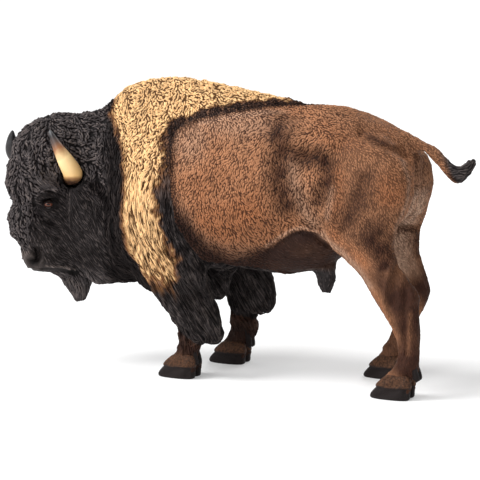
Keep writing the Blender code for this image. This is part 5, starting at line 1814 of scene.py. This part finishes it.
class BISON_OT_eyes(bpy.types.Operator):
    """Set the glossy brown eyes"""

    bl_idname = "bison.eyes"
    bl_label = "Eyes"

    def execute(self, context):
        material = eye_finish(paints_of(context))
        for side, word in ((1, "left"), (-1, "right")):
            add_piece("eyeball_" + word, eye_mesh(side), material, ["eye_" + word])
        return {"FINISHED"}


class BISON_OT_eyelids(bpy.types.Operator):
    """Close dark lids round each eye, leaving an almond of it open"""

    bl_idname = "bison.eyelids"
    bl_label = "Eyelids"

    def execute(self, context):
        material = painted_hair("lid_paint", paints_of(context), skin=True)
        for side, word in ((1, "left"), (-1, "right")):
            add_piece("eyelids_" + word, lid_mesh(side), material)
        return {"FINISHED"}


class BISON_OT_hooves(bpy.types.Operator):
    """Shape the cloven hooves and the dewclaws"""

    bl_idname = "bison.hooves"
    bl_label = "Hooves"

    def execute(self, context):
        paints = paints_of(context)
        material = hoof_finish("hoof_paint", paints, FUR_LINE * MM)
        claw_material = hoof_finish("claw_paint", paints, NO_FUR_LINE)
        for foot, forward, left, heel, fetlock, long in FEET:
            for outer, word in ((1, "a"), (-1, "b")):
                node = f"toe_{foot}_{word}"
                add_piece("hoof_" + node, toe_mesh(forward, left, outer), material, [node])
                node = f"dewclaw_{foot}_{word}"
                claw = dewclaw_mesh(heel, left, fetlock, long, outer)
                add_piece("claw_" + node, claw, claw_material, [node])
        return {"FINISHED"}


# The view: the place it looks at in the body's frame, the way to the camera in degrees, and the
# rest in metres and in the camera's own millimetres.
VIEW_AT = (18.3, 0.0, 41.4)
AZIMUTH, ELEVATION, DISTANCE = 114.0, 9.0, 0.6
LENS, SENSOR = 146.7, 36.0
NEAREST, FARTHEST = 0.05, 30.0
# Where the lights stand from that place in metres: towards the camera, to its right, and up.
DAYLIGHT_AT, DAYLIGHT_POWER, DAYLIGHT_SPREAD = (0.12, -0.95, 1.15), 3.2, 30.0
# The soft lights: name, place, size in metres, power.
SOFT_LIGHTS = (
    ("rim", (-0.35, 0.30, 0.45), 0.25, 1.0),
    ("front", (0.45, -0.40, 0.12), 0.30, 1.5),
)
SURROUND_POWER = 0.40
FLOOR_HALF = 6.0
FLOOR_GREYS = ((0.69, 0.69, 0.69), (0.71, 0.71, 0.71))
FLOOR_GLOW = 0.28


def placed(name, data, place, target):
    """A light or camera at its place, turned towards the target."""
    holder = bpy.data.objects.new(name, data)
    bpy.context.scene.collection.objects.link(holder)
    holder.location = place
    holder.rotation_mode = "QUATERNION"
    holder.rotation_quaternion = (target - holder.location).to_track_quat("-Z", "Y")
    return holder


def lay_floor(scene):
    """The plain pale floor."""
    corners = [(-FLOOR_HALF, -FLOOR_HALF, 0), (FLOOR_HALF, -FLOOR_HALF, 0)]
    corners += [(FLOOR_HALF, FLOOR_HALF, 0), (-FLOOR_HALF, FLOOR_HALF, 0)]
    mesh = mesh_of("floor", np.array(corners, float), np.array([[0, 1, 2, 3]]))
    floor = bpy.data.objects.new("floor", mesh)
    scene.collection.objects.link(floor)
    paper = Finish("paper")
    grain = paper.noise(40.0, 2.0)
    mesh.materials.append(paper.set(
        base_color=paper.mixed(*FLOOR_GREYS, grain), roughness=0.9,
        emission_color=(1, 1, 1), emission_strength=FLOOR_GLOW,
    ))


def light_surround(scene):
    """An even white surround."""
    world = bpy.data.worlds.new("studio")
    world.use_nodes = True
    background = world.node_tree.nodes["Background"]
    background.inputs[0].default_value = (1, 1, 1, 1)
    background.inputs[1].default_value = SURROUND_POWER
    scene.world = world
    scene.view_settings.view_transform = "Standard"


class BISON_OT_stage(bpy.types.Operator):
    """Lay the pale floor and set the soft lights and the camera"""

    bl_idname = "bison.stage"
    bl_label = "Stage"

    def execute(self, context):
        scene = context.scene
        lay_floor(scene)
        light_surround(scene)
        target = Vector(to_object([VIEW_AT])[0])
        turn, rise = math.radians(AZIMUTH), math.radians(ELEVATION)
        level = math.cos(rise)
        back = Vector((math.sin(turn) * level, -math.cos(turn) * level, math.sin(rise)))
        right = Vector((0, 0, 1)).cross(back).normalized()
        lens = bpy.data.cameras.new("camera")
        lens.lens, lens.sensor_width = LENS, SENSOR
        lens.clip_start, lens.clip_end = NEAREST, FARTHEST
        scene.camera = placed("camera", lens, target + back * DISTANCE, target)
        daylight = bpy.data.lights.new("daylight", "SUN")
        daylight.energy, daylight.angle = DAYLIGHT_POWER, math.radians(DAYLIGHT_SPREAD)
        lights = [(daylight, DAYLIGHT_AT)]
        for name, place, size, power in SOFT_LIGHTS:
            light = bpy.data.lights.new(name, "AREA")
            light.shape, light.size, light.energy = "DISK", size, power
            lights.append((light, place))
        for light, (ahead, aside, up) in lights:
            place = target + back * ahead + right * aside + Vector((0, 0, up))
            placed(light.name, light, place, target)
        return {"FINISHED"}


STEPS = (
    BISON_OT_skin, BISON_OT_roots, BISON_OT_coat, BISON_OT_horns, BISON_OT_eyes, BISON_OT_eyelids,
    BISON_OT_hooves, BISON_OT_stage,
)


class BISON_PT_panel(bpy.types.Panel):
    """Shows the figure's sizes and paints, and a button for each step"""

    bl_idname = "BISON_PT_panel"
    bl_label = "Moulded bison"
    bl_space_type = "VIEW_3D"
    bl_region_type = "UI"
    bl_category = "Bison"

    def draw(self, context):
        layout = self.layout
        for group in (context.scene.bison_sizes, context.scene.bison_paints):
            box = layout.box()
            for word in group.bl_rna.properties.keys():
                if word not in ("rna_type", "name"):
                    box.prop(group, word)
        for step in STEPS:
            layout.operator(step.bl_idname, text=step.bl_label)


CLASSES = (BisonPaints, BisonSizes, *STEPS, BISON_PT_panel)


def register():
    for made in CLASSES:
        bpy.utils.register_class(made)
    bpy.types.Scene.bison_paints = PointerProperty(type=BisonPaints)
    bpy.types.Scene.bison_sizes = PointerProperty(type=BisonSizes)


def unregister():
    del bpy.types.Scene.bison_sizes
    del bpy.types.Scene.bison_paints
    for made in reversed(CLASSES):
        bpy.utils.unregister_class(made)


def main():
    register()
    for step in STEPS:
        group, name = step.bl_idname.split(".")
        getattr(getattr(bpy.ops, group), name)()


if __name__ == "__main__":
    main()
